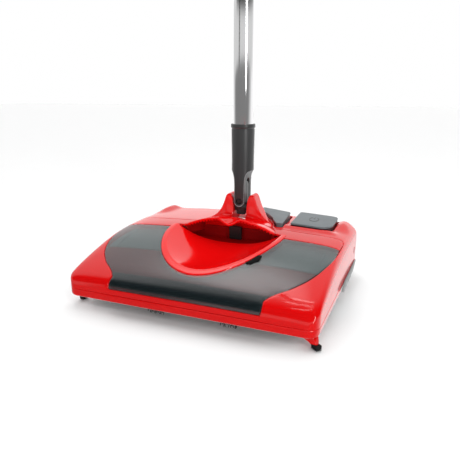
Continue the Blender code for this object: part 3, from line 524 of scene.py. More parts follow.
LOOKS = {
    "red_shell": shade("red_gloss", (0.68, 0.0027, 0.0031), 0.09, **GLOSSY_MOULDING),
    # inner_red is a darker copy of the red moulding: painted shade for hollows, the hand space and the parts
    # inside the head.
    "inner_red": shade("red_satin_shaded_copy", (0.34, 0.002, 0.003), 0.45, vary=0.08, grain=1800, specular=0.12),
    "smoked_window": shade("smoked_plastic", (0.006, 0.013, 0.015), 0.22, vary=0.05, grain=2500,
                           grain_depth=0.000003, alpha=0.60, specular=1.0, coat=1.0, coat_roughness=0.2),
    "dust_grey": shade("tray_grey", (0.30, 0.45, 0.45), 0.5, grain=1500),
    "charcoal": shade("charcoal_moulding", (0.030, 0.032, 0.033), 0.36, vary=0.08, grain=3200,
                      grain_depth=0.00004),
    "pedal_grey": shade("pedal_satin", (0.135, 0.155, 0.165), 0.46, vary=0.05, grain=3000,
                        grain_depth=0.00003),
    "black_plastic": shade("black_moulding", (0.010, 0.010, 0.011), 0.38, vary=0.2, grain=2600),
    "bristle_black": shade("nylon_black", (0.008, 0.008, 0.008), 0.5, vary=0.5, grain=800),
    "rubber_black": shade("rubber", (0.014, 0.014, 0.015), 0.72, vary=0.2, grain=1400, grain_depth=0.00006),
    "bumper_grey": shade("bumper_rubber", (0.30, 0.31, 0.31), 0.5, vary=0.1, grain=1800,
                         grain_depth=0.00004),
    "tube_aluminium": shade("drawn_aluminium", (0.78, 0.78, 0.785), 0.16, 1.0, vary=0.03, grain=1400,
                            grain_depth=0.000006, stretch=(1, 1, 0.02)),
    "steel": shade("plain_steel", (0.52, 0.53, 0.55), 0.32, 1.0, vary=0.06, grain=1200, grain_depth=0.00001),
    "battery_blue": shade("battery_wrap", (0.025, 0.10, 0.30), 0.32, grain=900),
    "board_green": shade("solder_mask", (0.015, 0.14, 0.05), 0.4, vary=0.3, grain=500),
}
# A brighter copy of the red moulding for the scoop and the bridge: painted light, lifting surfaces that take
# less light than the outer cover.
LIT_RED_COPY = shade("red_lit_copy", (0.86, 0.0032, 0.0036), 0.09, **GLOSSY_MOULDING)


# ---- covers and window --------------------------------------------------------------------
def edge_line(inset=0.0, front_z=INSERT_FRONT_Z):
    """Right-hand edge of the lift-out insert from its lower front corner to its rear, in plan."""
    front_y = float(np.interp(front_z, ROOF[:60, 1], ROOF[:60, 0]))
    line = smooth_curve(INSERT_EDGE, 8)
    return np.vstack([[INSERT_EDGE[0][0], front_y], line]) - (inset, 0)


YOKE_CURVE = smooth_curve(YOKE_EDGE, 8)


def yoke_x(y):
    """Half width of the yoke's plate."""
    return float(np.interp(y, YOKE_CURVE[:, 1], YOKE_CURVE[:, 0]))


def pedal_outline(corners, radii, clearance=0.0):
    loop = spaced(rounded(corners, radii), 0.8)
    return offset(loop, clearance) if clearance else loop


def make_upper_cover():
    """The red top moulding, open where the lift-out insert, the yoke and the pedals are."""
    yoke = YOKE_CURVE[YOKE_CURVE[:, 1] > PANEL_LINE_Y] + (SEAM_GAP, 0)
    right = np.vstack([edge_line(), [[yoke_x(PANEL_LINE_Y) + SEAM_GAP, PANEL_LINE_Y]], yoke,
                       [[yoke[-1, 0], COVER_NOTCH_Y]]])
    sides = [(-LENGTH_U, 0), (LENGTH_U, 0), (LENGTH_U, LENGTH_V), (-LENGTH_U, LENGTH_V)]
    holes = [soften_corners(to_skin(mirrored(right)), COVER_CORNER)]
    for corners, radii in ((POWER_CORNERS, POWER_RADII), (RELEASE_CORNERS, RELEASE_RADII)):
        holes.append(to_skin(pedal_outline(corners, radii, PEDAL_SLOT)))
    panel("cover_skin", sides, holes, skin, COVER_ROLL, WALL, "head", "red_shell", ("upper_cover",),
          spacing=COVER_SPACING)


def soften_corners(loop, reach):
    """A closed loop whose sharp corners are cut by short curves."""
    spacing = 0.5
    even = spaced(loop, spacing)
    width = max(1, round(reach / spacing))
    kernel = np.hanning(2 * width + 3)[1:-1]
    kernel /= kernel.sum()
    wrapped = np.vstack([even[-width:], even, even[:width]])
    soft = np.stack([np.convolve(wrapped[:, k], kernel, "valid") for k in (0, 1)], axis=1)
    return soft[:len(even)]


def scoop_edge(inset=0.0, steps=96):
    """The scoop's rim in plan: a long half oval, straight along its rear."""
    angle = np.pi * np.arange(steps + 1) / steps
    width, length = SCOOP_HALF_WIDTH - inset, SCOOP_LENGTH - inset
    x = np.sign(np.cos(angle)) * np.abs(np.cos(angle)) ** (2 / SCOOP_POWER) * width
    y = SCOOP_REAR_Y - np.abs(np.sin(angle)) ** (2 / SCOOP_POWER) * length
    return np.stack([x, y], axis=1)


def make_window():
    """The smoked window, from the front edge back to the wings, round the scoop's rim."""
    gap = 0.4
    right = edge_line(2 * gap, INSERT_FRONT_Z + gap)
    right = right[right[:, 1] < WINDOW_REAR_Y]
    right = np.vstack([right, [[right[-1, 0] + 0.1, WINDOW_REAR_Y]]])
    rim = scoop_edge(-gap)
    start = rim[23::-1]
    rear_x = float(np.interp(WINDOW_REAR_Y, start[:, 1], start[:, 0]))
    loop = np.vstack([right, [[rear_x, WINDOW_REAR_Y]], rim[rim[:, 1] < WINDOW_REAR_Y],
                      [[-rear_x, WINDOW_REAR_Y]], right[::-1] * (-1, 1)])
    window = panel("window_shell", soften_corners(to_skin(loop), INSERT_CORNER), [], skin, INSERT_ROLL, WALL,
                   "dust_box", "smoked_window", ("window_panel",), spacing=INSERT_SPACING)
    window.visible_shadow = False


SCOOP_FLOOR, SCOOP_DIP, SCOOP_LIP = 53.0, 6.0, 0.8
RIM_SHARE = 0.93
SCOOP_ROLL, LIP_WIDTH, LIP_STEP = 0.9, 1.6, 0.35


def scoop_height(x, y, share):
    """Top of the scoop at a share of the way from its rear middle to its rim."""
    inside_share = np.minimum(1, share / RIM_SHARE)
    reach = np.maximum(share, RIM_SHARE)
    rim = roof_z(x * reach, SCOOP_REAR_Y + (y - SCOOP_REAR_Y) * reach) + SCOOP_LIP
    ahead = (SCOOP_REAR_Y - y) / SCOOP_LENGTH
    dish = SCOOP_FLOOR + (rim - SCOOP_FLOOR) * inside_share ** 2.6
    return dish - SCOOP_DIP * 4 * inside_share * (1 - inside_share) * ahead


def scoop_shape(steps=120):
    """The scoop: radial profiles from its rear middle to its rim, swept round the rim."""
    shares = np.concatenate([(0,), np.linspace(0.02, 0.88, 34), np.linspace(0.895, RIM_SHARE, 6),
                             (0.934, 0.94, 0.955, 0.97, 0.982, 0.989, 0.994, 0.998, 1.0)])
    sections = []
    for x, y in scoop_edge(0, steps):
        run = math.hypot(x, y - SCOOP_REAR_Y)
        from_edge = np.minimum((1 - shares) * run, SCOOP_ROLL)
        from_lip = np.clip((shares - RIM_SHARE) * run, 0, LIP_WIDTH)
        step = np.where(shares > RIM_SHARE - 1e-6, LIP_STEP * (1 - from_lip / LIP_WIDTH) ** 2, 0)
        roll = SCOOP_ROLL - np.sqrt(SCOOP_ROLL ** 2 - (SCOOP_ROLL - from_edge) ** 2)
        top = np.column_stack([x * shares, SCOOP_REAR_Y + (y - SCOOP_REAR_Y) * shares,
                               scoop_height(x, y, shares) - roll - step])
        sections.append(np.vstack([top, (top - (0, 0, WALL))[::-1]]))
    return loft(sections)


def make_scoop():
    # The dish takes the brighter copy of the red, which is painted light.
    add_piece("scoop_dish", scoop_shape(), "dust_box", "red_shell", ("scoop_frame",), LIT_RED_COPY, 50)
    front = WINDOW_REAR_Y + 2 * SEAM_GAP
    rear = PANEL_LINE_Y - 2 * SEAM_GAP
    outer = edge_line(2 * SEAM_GAP)
    outer = outer[(outer[:, 1] > front) & (outer[:, 1] < rear)]
    rim = scoop_edge(1.5)
    rim = rim[(rim[:, 0] > 0) & (rim[:, 1] > front)][::-1]
    yoke = YOKE_CURVE[YOKE_CURVE[:, 1] < rear] + (SEAM_GAP, 0)
    loop = np.vstack([rim, yoke, [[yoke_x(rear) + SEAM_GAP, rear]], [[outer[-1, 0] - 1, rear]], outer[::-1],
                      [[outer[0, 0], front]]])
    for name, side in SIDES:
        outline = soften_corners(to_skin(loop * (side, 1)), INSERT_CORNER)
        panel(f"insert_wing_{name}", outline, [], skin, INSERT_ROLL, WALL, "dust_box", "red_shell",
              spacing=INSERT_SPACING)


# ---- yoke ---------------------------------------------------------------------------------
def arch_rise(y):
    """How far the bridge stands above the deck along its middle."""
    return np.interp(y, [a for a, b in ARCH_RISE], [b for a, b in ARCH_RISE])


def beak(x, y):
    """How far the bridge's front middle dips into a beak."""
    across = np.clip(1 - (np.abs(x) / BEAK_HALF_WIDTH) ** 1.6, 0, 1)
    return BEAK_DIP * across * (1 - smooth_step(y, YOKE_FRONT_Y, 38))


def yoke_top(x, y, edge):
    """Height of the bridge's plate, without its horns."""
    share = np.clip(np.abs(x) / edge, 0, 1)
    return roof_z(edge, y) + arch_rise(y) * (1 - share ** 2) - beak(x, y)


HORN = ((9.2, 60), (9.26, 92), (10.3, 99.8), (11.4, 102.9), (12.5, 104.9), (13.6, 106.0), (15, 106.5),
        (16.6, 106.5), (18.2, 105.7), (19.6, 103.9), (20.8, 101), (22, 97.4), (23.6, 93), (25.6, 88.6),
        (28, 84.4), (31, 80.6), (35, 77), (40, 74), (46, 72))
HORN_REACH = ((42, 0), (45, 0.015), (48, 0.05), (50, 0.11), (51.2, 0.2), (52, 0.34), (52.5, 0.55),
              (52.8, 0.8), (53.3, 0.94), (54.2, 0.99), (55.4, 1), (70.6, 1), (71.8, 0.99), (72.7, 0.94),
              (73.2, 0.8), (73.5, 0.55), (74, 0.34), (74.8, 0.2), (76, 0.11), (78, 0.05), (81, 0.015),
              (84, 0))

HORN_LINE = np.vstack([HORN[:2], smooth_curve(HORN[1:], 6)[1:]])
HORN_REACH_LINE = np.asarray(HORN_REACH) * (1, HORN_RISE)


def bridge_top(x, y, edge):
    """Height of the bridge with the two horns that hold the tilt pin growing out of it."""
    plate = yoke_top(x, y, edge)
    horn = np.interp(np.abs(x), HORN_LINE[:, 0], HORN_LINE[:, 1])
    grown = np.interp(y, HORN_REACH_LINE[:, 0], HORN_REACH_LINE[:, 1]) / HORN_RISE
    near_edge = smooth_step(edge - np.abs(x), -2, 8)
    return plate + np.maximum(0, horn - plate) * grown * near_edge


def make_pivot_shade_sheet():
    """A matt sheet on the bridge between the horns, below the joint: its dark red is painted shade."""
    half, thick, proud = 8.4, 0.6, 0.35
    sections = []
    for y in np.arange(49, 83.1, 2.0):
        top = float(yoke_top(0, y, yoke_x(y)))
        low, high = top - thick, top + proud
        sections.append([(-half, y, low), (half, y, low), (half, y, high), (-half, y, high)])
    add_piece("pivot_pad", loft(sections), "head", "inner_red")


def hanging_sheet(name, front, rear, look):
    """A thin sheet on each side of the scoop, a little below the window."""
    drop, thick = 8.5, 1.2
    rim, edge = scoop_edge()[:49], edge_line()
    for side_name, side in SIDES:
        sections = []
        for y in np.arange(front, rear, 2.2):
            inner = float(np.interp(-y, -rim[:, 1], rim[:, 0])) - 2 if y > rim[-1, 1] else 0.5
            outer = float(np.interp(y, edge[:, 1], edge[:, 0])) + 1
            row = [(side * x, y, float(roof_z(x, y)) - drop) for x in np.linspace(inner, outer, 16)]
            sections.append(row + [(x, y, z - thick) for x, y, z in reversed(row)])
        add_piece(f"{name}_{side_name}", loft(sections), "dust_box", look)


def make_catch():
    """A small black catch on the window, against the scoop's rim."""
    corners = [(50.5, -65), (57, -66), (65, -57), (65, -48), (60.5, -47), (55.5, -57)]
    outline = spaced(rounded(corners, 2.2), 1.0)
    sections = []
    for inset, height in ((0, -2.0), (0, 0.3), (0.25, 0.7), (0.8, 1.0)):
        ring = offset(outline, -inset)
        sections.append(np.insert(ring, 2, roof_z(*ring.T) + height, axis=1))
    rubber = shade("catch_rubber", (0.006, 0.006, 0.006), 0.6, vary=0.2, grain=2000, specular=0.06)
    add_piece("scoop_catch", loft(sections), "dust_box", "bristle_black", look=rubber)


def make_inside_parts():
    """What shows through the window: the tray's lid and apron, its side ribs, and a black sheet
    behind the window's front lip. The sheet and the apron's darker inner red are painted shade."""
    hanging_sheet("tray_lid", -47.5, 10, "dust_grey")
    hanging_sheet("tray_apron", -94, -49, "inner_red")
    across = np.linspace(-92, 92, 24)
    sections = []
    for v in np.linspace(10, 31, 11):
        run = np.full(24, v)
        sheet, lean = skin(across, run), outward(skin, across, run)
        sections.append(np.vstack([sheet - (WALL + 0.5) * lean, (sheet - (WALL + 1.4) * lean)[::-1]]))
    # A black sheet behind the window's front lip: painted shade for the dark inside there.
    add_piece("window_backing", loft(sections), "dust_box", "black_plastic")
    rib = [(-50, 30), (-2, 30), (-2, 62), (-14, 60), (-30, 57), (-50, 51)]
    for name, side in SIDES:
        add_piece(f"tray_rib_{name}", prism(rib, *sorted((side * 123.6, side * 124.8)), "X"), "dust_box",
                  "dust_grey")


def make_shaded_pocket_walls():
    """Curved side walls of the hand space, down from the bridge's edges; their dark red is painted shade."""
    near, far, floor, below = 1.0, 2.2, 58, 2.6
    for name, side in SIDES:
        sections = []
        for y in np.arange(14.6, 44.5, 1.0):
            edge = yoke_x(y)
            high = [float(yoke_top(edge - inset, y, edge)) - below for inset in (near, far)]
            sections.append([(side * (edge - inset), y, z) for inset, z in (
                (near, floor), (near, high[0]), (far, high[1]), (far, floor))])
        add_piece(f"pocket_lining_{name}", loft(sections), "head", "inner_red")


def make_yoke():
    """The bridge: cross sections from its front edge to its rear, with the teeth below."""
    nose, thick, core = 1.4, 3.0, 24
    rows = np.concatenate([YOKE_FRONT_Y + nose * np.array((0, 0.08, 0.3, 0.65, 1)), np.arange(16, 42, 1.3),
                           spaced(HORN_REACH_LINE, 0.6, closed=False)[:, 0], [84]])
    rows = np.unique(np.round(rows, 3))
    columns = np.concatenate([np.linspace(0, 9, 9), spaced(HORN_LINE, 0.8, closed=False)[:, 0]])
    columns = np.unique(np.round(np.concatenate([columns, -columns]), 3))
    inner = columns[np.abs(columns) < core]
    shares = np.concatenate([np.linspace(0, 0.97, 22), (0.98, 0.99, 0.996, 1)])
    sections = []
    for y in rows:
        edge = yoke_x(y)
        drop = nose - math.sqrt(max(0, nose ** 2 - (nose - min(nose, y - YOKE_FRONT_Y)) ** 2))
        outer = core + (edge - core) * shares
        x = np.concatenate([-outer[::-1], inner, outer])
        side = np.minimum(edge - np.abs(x), YOKE_ROLL)
        roll = YOKE_ROLL - np.sqrt(np.maximum(0, YOKE_ROLL ** 2 - (YOKE_ROLL - side) ** 2))
        top = bridge_top(x, y, edge) - drop - roll
        solid = smooth_step(y, 44, 46)
        low = (yoke_top(x, y, edge) - thick + drop * 0.9) * (1 - solid) + YOKE_UNDERSIDE * solid
        low = np.minimum(low, top - 0.2)
        upper, lower = (np.column_stack([x, np.full_like(x, y), z]) for z in (top, low))
        sections.append(np.vstack([upper, lower[::-1]]))
    # The bridge takes the brighter copy of the red, which is painted light.
    add_piece("yoke_bridge", together(loft(sections), *teeth()), "head", "red_shell", ("handle_yoke",),
              LIT_RED_COPY, 50)


def teeth():
    """The row of small ribs that hangs under the bridge's front edge."""
    half, drop, bite = 0.65, 1.7, 0.2
    made = []
    for x in np.arange(-54, 55, 4.0):
        if abs(x) > 13:
            z = float(yoke_top(x, 15.0, YOKE_EDGE[0][0])) - 2.6
            made.append(block((x - half, 13.9, z - drop), (x + half, 16.4, z + bite)))
    return made


# ---- pedals -------------------------------------------------------------------------------
def pedal_surface(u, v):
    u, v = np.asarray(u, float), np.asarray(v, float)
    fall = PEDAL_FALL * np.maximum(0, u - PEDAL_LEVEL_X) ** 2
    return np.stack([u, v, PEDAL_TOP + PEDAL_RISE * (v - PEDAL_PIN_Y) - fall], axis=-1)


def make_pedal(name, corners, radii, lug, stems, skirt_slot, cap_corners):
    """A pedal's cap, and the skirt, pin lug and stems under it."""
    skirt_bottom, root = 65.2, 66
    panel(f"{name}_cap", pedal_outline(cap_corners, radii), [], pedal_surface, 0.9, 1.9, name, "pedal_grey",
          (name,), spacing=4.0)
    ring = offset(spaced(pedal_outline(corners, radii), 1.6), -0.35)
    parts = [loft([np.insert(ring, 2, skirt_bottom, axis=1), pedal_surface(*ring.T) - (0, 0, 1.8)]),
             block((lug[0], PEDAL_PIN_Y - 4.4, 55.6), (lug[1], PEDAL_PIN_Y + 4.4, root))]
    parts += [turned([(radius, z), (radius, root)], (x, y, 0), "Z", 24) for x, y, radius, z in stems]
    add_piece(f"{name}_skirt", together(*parts), name, skirt_slot)


def power_mark():
    """A plain power symbol, slightly proud of the large pedal."""
    cx, cy, radius, half_wire, length = 92.5, 82.0, 5.9, 0.8, 1.5
    sunk, proud = 0.3, 0.22
    angles = np.radians(np.linspace(32, 328, 40))
    ring = np.column_stack([cx + radius * np.sin(angles), cy + length * radius * np.cos(angles)])
    bar = spaced([(cx, cy + 1.5), (cx, cy + length * radius + 1.6)], 1.0, closed=False)
    parts = []
    for line in (ring, bar):
        along = np.gradient(line, axis=0)
        along /= np.linalg.norm(along, axis=1, keepdims=True)
        sections = []
        for p, (dx, dy) in zip(line, along):
            side, z = half_wire * np.array((dy, -dx)), float(pedal_surface(*p)[2])
            sections.append([(*(p + side * reach), z + height) for reach, height in (
                (-1, -sunk), (-0.6, proud), (0.6, proud), (1, -sunk))])
        parts.append(loft(sections))
    add_piece("power_mark", together(*parts), "power_pedal", "charcoal")


def make_pedals():
    make_pedal("power_pedal", POWER_CORNERS, POWER_RADII, (88, 104.5),
               ((78, 98, 5, 62.4), (105, 97, 3, 58)), "black_plastic", POWER_CORNERS)
    make_pedal("release_pedal", RELEASE_CORNERS, RELEASE_RADII, (52.2, 56.6), ((38, 98, 5, 62.4),),
               "pedal_grey", RELEASE_CAP_CORNERS)
    power_mark()


# ---- handle -------------------------------------------------------------------------------
AXIS = (0, HANDLE_Y, 0)


def arc(centre, radius, start, end, steps):
    """Points along part of a circle, between two angles in degrees."""
    angles = np.radians(np.linspace(start, end, steps))
    return np.stack([centre[0] + radius * np.cos(angles), centre[1] + radius * np.sin(angles)], axis=1)


def make_collar():
    """The fork: a collar cut flat at the sides, round below, and slotted for the knuckle."""
    profile = [(14.5, 84), (14.4, 132), (14.2, 150), (14.8, 188.4), (14.7, 189.2), (14.35, 189.5),
               (14.35, 190.7), (14.9, 191.1), (15.4, 191.5), (15.5, 192), (15.5, 195), (15.3, 195.7),
               (14.6, COLLAR_TOP), (13.1, COLLAR_TOP)]
    front, rear = 40, 86
    cutters = [turned([(TUBE_RADIUS + 0.3, 160), (TUBE_RADIUS + 0.3, 210)], AXIS, "Z", 96)]
    flat = smooth_curve([(7, 104), (7.05, 122), (7.7, 128.5), (9.4, 133.5), (12, 136.9), (15.5, 138.6)], 5)
    for _, side in SIDES:
        outline = np.vstack([[(7, 80)], flat, [(24, 138.6), (24, 80)]]) * (side, 1)
        cutters.append(prism(outline, front, rear, "Y"))
    below = [(-20, SWING_Z), (-20, 80), (20, 80), (20, SWING_Z)]
    cutters.append(prism(np.vstack([below, arc((0, SWING_Z), 7, 0, -180, 32)]), front, rear, "Y"))
    slot = [(HANDLE_Y - 6.3, 70), (HANDLE_Y + 6.3, 70)]
    cutters.append(prism(np.vstack([slot, arc((HANDLE_Y, 121.5), 6.3, 0, 180, 28)]), -30, 30, "X"))
    cutters.append(turned([(4.1, -30), (4.1, 30)], (0, HANDLE_Y, SWING_Z), "Y", 48))
    bm = carved("collar", turned(profile, AXIS, "Z", 96), cuts(*cutters), bevel=0.55)
    add_bmesh("handle_fork", bm, "handle", "charcoal", ("fork_collar",), angle=40)


def prong_rims():
    """The thin raised edge round each prong's end and its pin hole; its light grey is a painted highlight."""
    face, barrel = 14.0, 14.4
    right = smooth_curve([(6.9, 104), (7.0, 122), (7.6, 128.5), (9.2, 133.5), (11.4, 136.6)], 5)
    line = np.vstack([right[::-1], arc((0, SWING_Z), 6.9, 0, -180, 28), right * (-1, 1)])
    parts = []
    for side in (-1, 1):
        y = HANDLE_Y + side * face
        sections = []
        for i, (x, z) in enumerate(line):
            ahead, behind = line[min(i + 1, len(line) - 1)], line[max(i - 1, 0)]
            along = (ahead - behind) / np.linalg.norm(ahead - behind)
            depth = math.sqrt(max(0, barrel ** 2 - x ** 2)) - face
            sections.append([(x + along[1] * a, y + side * (b + depth), z - along[0] * a) for a, b in (
                (0.0, -0.5), (0.0, 0.12), (0.25, 0.3), (0.7, 0.3), (0.95, 0.12), (0.95, -0.5))])
        parts.append(loft(sections))
    # The light grey is a painted highlight on the raised edge.
    look = shade("rim_highlight_grey", (0.30, 0.31, 0.32), 0.35, vary=0.05, grain=3000)
    add_piece("prong_edges", together(*parts), "handle", "pedal_grey", look=look)


def make_knuckle():
    """The bar between the horns, with the two pins of the handle's joint."""
    bar = rounded([(-6.4, 79), (6.4, 79), (6.4, 123.2), (-6.4, 123.2)], [3, 3, 6.2, 6.2], 12)
    tilt, swing = (0, HANDLE_Y, TILT_Z), (0, HANDLE_Y, SWING_Z)
    steps = [("UNION", turned([(6, -8.8), (6, 8.8)], tilt, "X", 48))]
    steps += cuts(turned([(3.2, -30), (3.2, 30)], tilt, "X", 32),
                  turned([(3.5, -30), (3.5, 30)], swing, "Y", 32))
    bm = carved("knuckle_bar", prism(bar, HANDLE_Y - 5.5, HANDLE_Y + 5.5, "Y"), steps, bevel=0.6)
    add_bmesh("joint_knuckle", bm, "knuckle", "charcoal", ("knuckle",))
    pin = [(2.6, -12.4), (3.15, -11.9), (3.15, 11.9), (2.6, 12.4)]
    add_piece("fork_pin", turned(pin, swing, "Y", 40), "knuckle", "black_plastic", ("swing_pin",))
    pin = [(2.5, -20), (3.0, -19.5), (3.0, 19.5), (2.5, 20)]
    add_piece("yoke_pin", turned(pin, tilt, "X", 40), "head", "steel", ("tilt_pin",))


def make_tubes():
    """The three lengths of the handle tube, and the ribbed sleeves that join them."""
    ends = (160.3, *TUBE_JOINTS, HANDLE_TOP - 42)
    inner, chamfer = TUBE_RADIUS - 0.9, 0.3
    for name, low, high in zip(("lower", "middle", "upper"), ends, ends[1:]):
        top = high - SEAM_GAP
        profile = [(inner, low + chamfer), (inner + chamfer, low), (TUBE_RADIUS - chamfer, low),
                   (TUBE_RADIUS, low + chamfer), (TUBE_RADIUS, top - chamfer), (TUBE_RADIUS - chamfer, top),
                   (inner + chamfer, top), (inner, top - chamfer)]
        add_piece(f"{name}_pole", turned(profile, AXIS, "Z", 96, hollow=True), "handle", "tube_aluminium",
                  (f"{name}_tube",), angle=50)
    bore, half = TUBE_RADIUS + SEAM_GAP, 11.6
    for name, height in zip(("lower", "upper"), TUBE_JOINTS):
        ring = [(bore, -12)]
        for t in np.linspace(-1, 1, 61):
            groove = 0.18 * (math.cos(t * 22) > 0.75)
            ring.append((bore + 1.4 - 0.5 * abs(t) ** 6 - groove, half * t))
        sleeve = turned(ring + [(bore, 12)], (0, HANDLE_Y, height), "Z", 72, hollow=True)
        add_piece(f"{name}_pole_joiner", sleeve, "handle", "charcoal", (f"{name}_joiner",), angle=30)


def make_grip():
    """A soft grip with shallow finger waves and fine rings, and its rounded cap."""
    low, high = GRIP_BOTTOM, HANDLE_TOP - 42.5
    bore, rings = TUBE_RADIUS + SEAM_GAP, 34
    profile = [(bore, low), (bore + 1.8, low), (bore + 2.3, low + 0.5)]
    for t in np.linspace(0, 1, 150):
        ring = 0.28 * (0.5 + 0.5 * math.cos(2 * math.pi * t * rings)) * smooth_step(min(t, 1 - t), 0.05, 0.09)
        wave = 1.0 * math.sin(math.pi * t) ** 2 * (1 - 0.4 * t)
        profile.append((16.4 - wave - ring, low + 1.2 + (high - low - 2.4) * t))
    profile += [(16.2, high - 0.5), (bore + 2.4, high), (bore, high)]
    add_piece("soft_grip", turned(profile, AXIS, "Z", 72, hollow=True), "handle", "rubber_black",
              ("handle_grip",), angle=50)
    base, cap_radius = HANDLE_TOP - 42, 16.2
    cap = [(10.6, 1060.4), (11.3, 1061), (11.3, base), (15.7, base), (cap_radius, base + 0.5)]
    cap += [(cap_radius * math.cos(a) ** 0.55, base + 7 + 35 * math.sin(a) ** 1.15)
            for a in np.radians(np.linspace(0, 86, 26))] + [(1.2, HANDLE_TOP)]
    eye = turned([(9.5, -17), (7.4, -12), (6.3, -7), (6, 0), (6.3, 7), (7.4, 12), (9.5, 17)],
                 (0, HANDLE_Y, HANDLE_TOP - 20), "Y", 48)
    bm = carved("cap", turned(cap, AXIS, "Z", 72), cuts(eye), bevel=0.4, segments=2, limit=50)
    add_bmesh("end_cap", bm, "handle", "black_plastic", ("hanging_cap",), angle=40)


# ---- base ---------------------------------------------------------------------------------
def base_outline(inset, spacing=2.0):
    """The head's outline in plan, moved inwards."""
    corner = np.linspace(0, np.pi / 2, 14)
    straight = HALF_LENGTH - 16
    y = np.concatenate([-HALF_LENGTH + CORNER_RADIUS * (1 - np.cos(corner)),
                        np.linspace(-straight, straight, 60),
                        HALF_LENGTH - CORNER_RADIUS * (1 - np.cos(corner[::-1]))])
    right = np.stack([half_width(y), y], axis=1)
    rear = [(right[-1, 0] * share, HALF_LENGTH) for share in np.linspace(0.97, 0.02, 34)]
    loop = mirrored(np.vstack([right, rear]))
    loop[:, 1] += bulge(loop[:, 0], loop[:, 1])
    return offset(spaced(loop, spacing), -inset)


FLOOR_TOP = 14.3
WELL = (101, 121, REAR_WHEEL[1] - 21, REAR_WHEEL[1] + 20.5)
SCREW_PLACES = ((126, -100), (134, 16), (-134, 16), (-126, -100))
BELT_X = -127.0


def make_base():
    """The lower red band, its floor, and the openings and grooves in its underside."""
    edge, above, below = 3.2, 40, 0
    rings = [(BASE_BOTTOM + edge * (1 - math.sin(a)), edge * (1 - math.cos(a)))
             for a in np.radians(np.linspace(90, 0, 6))]
    rings += [(19.6, 0.0), (20.2, 0.08), (20.55, 0.3), (20.7, 0.6)]
    sections = [np.insert(base_outline(inset), 2, z, axis=1) for z, inset in rings]
    added = [turned([(4.2, FLOOR_TOP - 1), (4.2, 20.4)], (*place, 0), "Z", 32) for place in SCREW_PLACES]
    wheel_y, axle_z = REAR_WHEEL[1:]
    openings = [block((-84, y - 1.1, BASE_BOTTOM - 1), (84, y + 1.1, BASE_BOTTOM + 0.9))
                for y in (-30, -18, -6, 6, 18, 30, 42, 54, 66)]
    openings.append(block((-118, -104, below), (118, -61, above)))
    openings.append(block((BELT_X - 4, -95, below), (BELT_X + 3.6, -44, above)))
    for _, side in SIDES:
        for near, far in ((98.5, 101), (121, 123.5)):
            added.append(side_block(side, near, far, (wheel_y - 9, FLOOR_TOP - 1), (wheel_y + 9, 25)))
        middle = side * REAR_WHEEL[0]
        openings.append(side_block(side, *WELL[:2], (WELL[2], below), (WELL[3], above)))
        openings.append(turned([(2.8, middle - 20), (2.8, middle + 20)], (0, wheel_y, axle_z), "X", 24))
        openings.append(side_block(side, 129.6, 137.4, (ROLLER[1] - 9, below), (ROLLER[1] + 9, above)))
    hole = [(4.2, below), (4.2, 13.4), (2, 13.4), (2, above)]
    openings += [turned(hole, (*place, 0), "Z", 32) for place in SCREW_PLACES]
    steps = cuts(prism(base_outline(4.5, 3.0), FLOOR_TOP, above))
    steps += [("UNION", shape) for shape in added] + cuts(*openings)
    bm = carved("tray", loft(sections), steps)
    add_bmesh("base_shell", bm, "head", "red_shell", ("base_tray",), angle=40)


def make_screws():
    """Four cross-headed screws, sunk into the base."""
    head = [(3.2, BASE_BOTTOM + 0.3), (3.75, 12.3), (3.8, 13.1), (1.6, 13.3), (1.6, 26)]
    for number, (x, y) in enumerate(SCREW_PLACES, 1):
        slots = [block((x - wide, y - deep, 10), (x + wide, y + deep, 12.9))
                 for wide, deep in ((2.2, 0.45), (0.45, 2.2))]
        bm = carved(f"screw_{number}", turned(head, (x, y, 0), "Z", 40), cuts(*slots))
        add_bmesh(f"cross_screw_{number}", bm, "head", "steel", (f"base_screw_{number}",))


FEET = {
    "left": (((-140, -105), (-133, -106), (-132, -95.5), (-139.5, -94.5)),
             ((-139.6, -103), (-134.6, -103.6), (-133.6, -97.2), (-138.8, -96.4)),
             ((-139.8, -103.2), (-134.4, -103.8), (-133.4, -97.2), (-139, -96.2))),
    "right": (((120, -113), (137, -115), (142, -109), (138, -100)),
              ((136, -115.5), (142, -116), (143.5, -112.5), (139, -109)),
              ((136.4, -112.6), (142.5, -117.6), (146, -114), (140, -108.4)))}


def make_corner_feet():
    """A post at each front corner with a clump of bristles below it."""
    drops = ((0, BASE_BOTTOM + 1.5), (0.55, 9.6), (0.85, 7.4), (1, 5.5))
    for name, corners in FEET.items():
        top, low, clump = (np.array(four, float) for four in corners)
        sections = [np.insert(top + (low - top) * share, 2, z, axis=1) for share, z in drops]
        bm = carved(f"arm_{name}", loft(sections), [], bevel=0.5, segments=2)
        add_bmesh(f"corner_foot_{name}", bm, "head", "red_shell", (f"corner_arm_{name}",))
        spread = np.random.default_rng(7)
        strands = []
        for a in np.linspace(0, 1, 11):
            near, far = clump[0] + (clump[1] - clump[0]) * a, clump[3] + (clump[2] - clump[3]) * a
            for b in np.linspace(0, 1, 8):
                root = near + (far - near) * b
                tip = root + spread.uniform(-0.35, 0.35, 2)
                strands.append(strand((*root, 5.4), (*tip, 0.4 * spread.random()), 0.42, 0.25))
        add_piece(f"corner_bristles_{name}", together(*strands), "head", "bristle_black",
                  (f"corner_brush_{name}",))


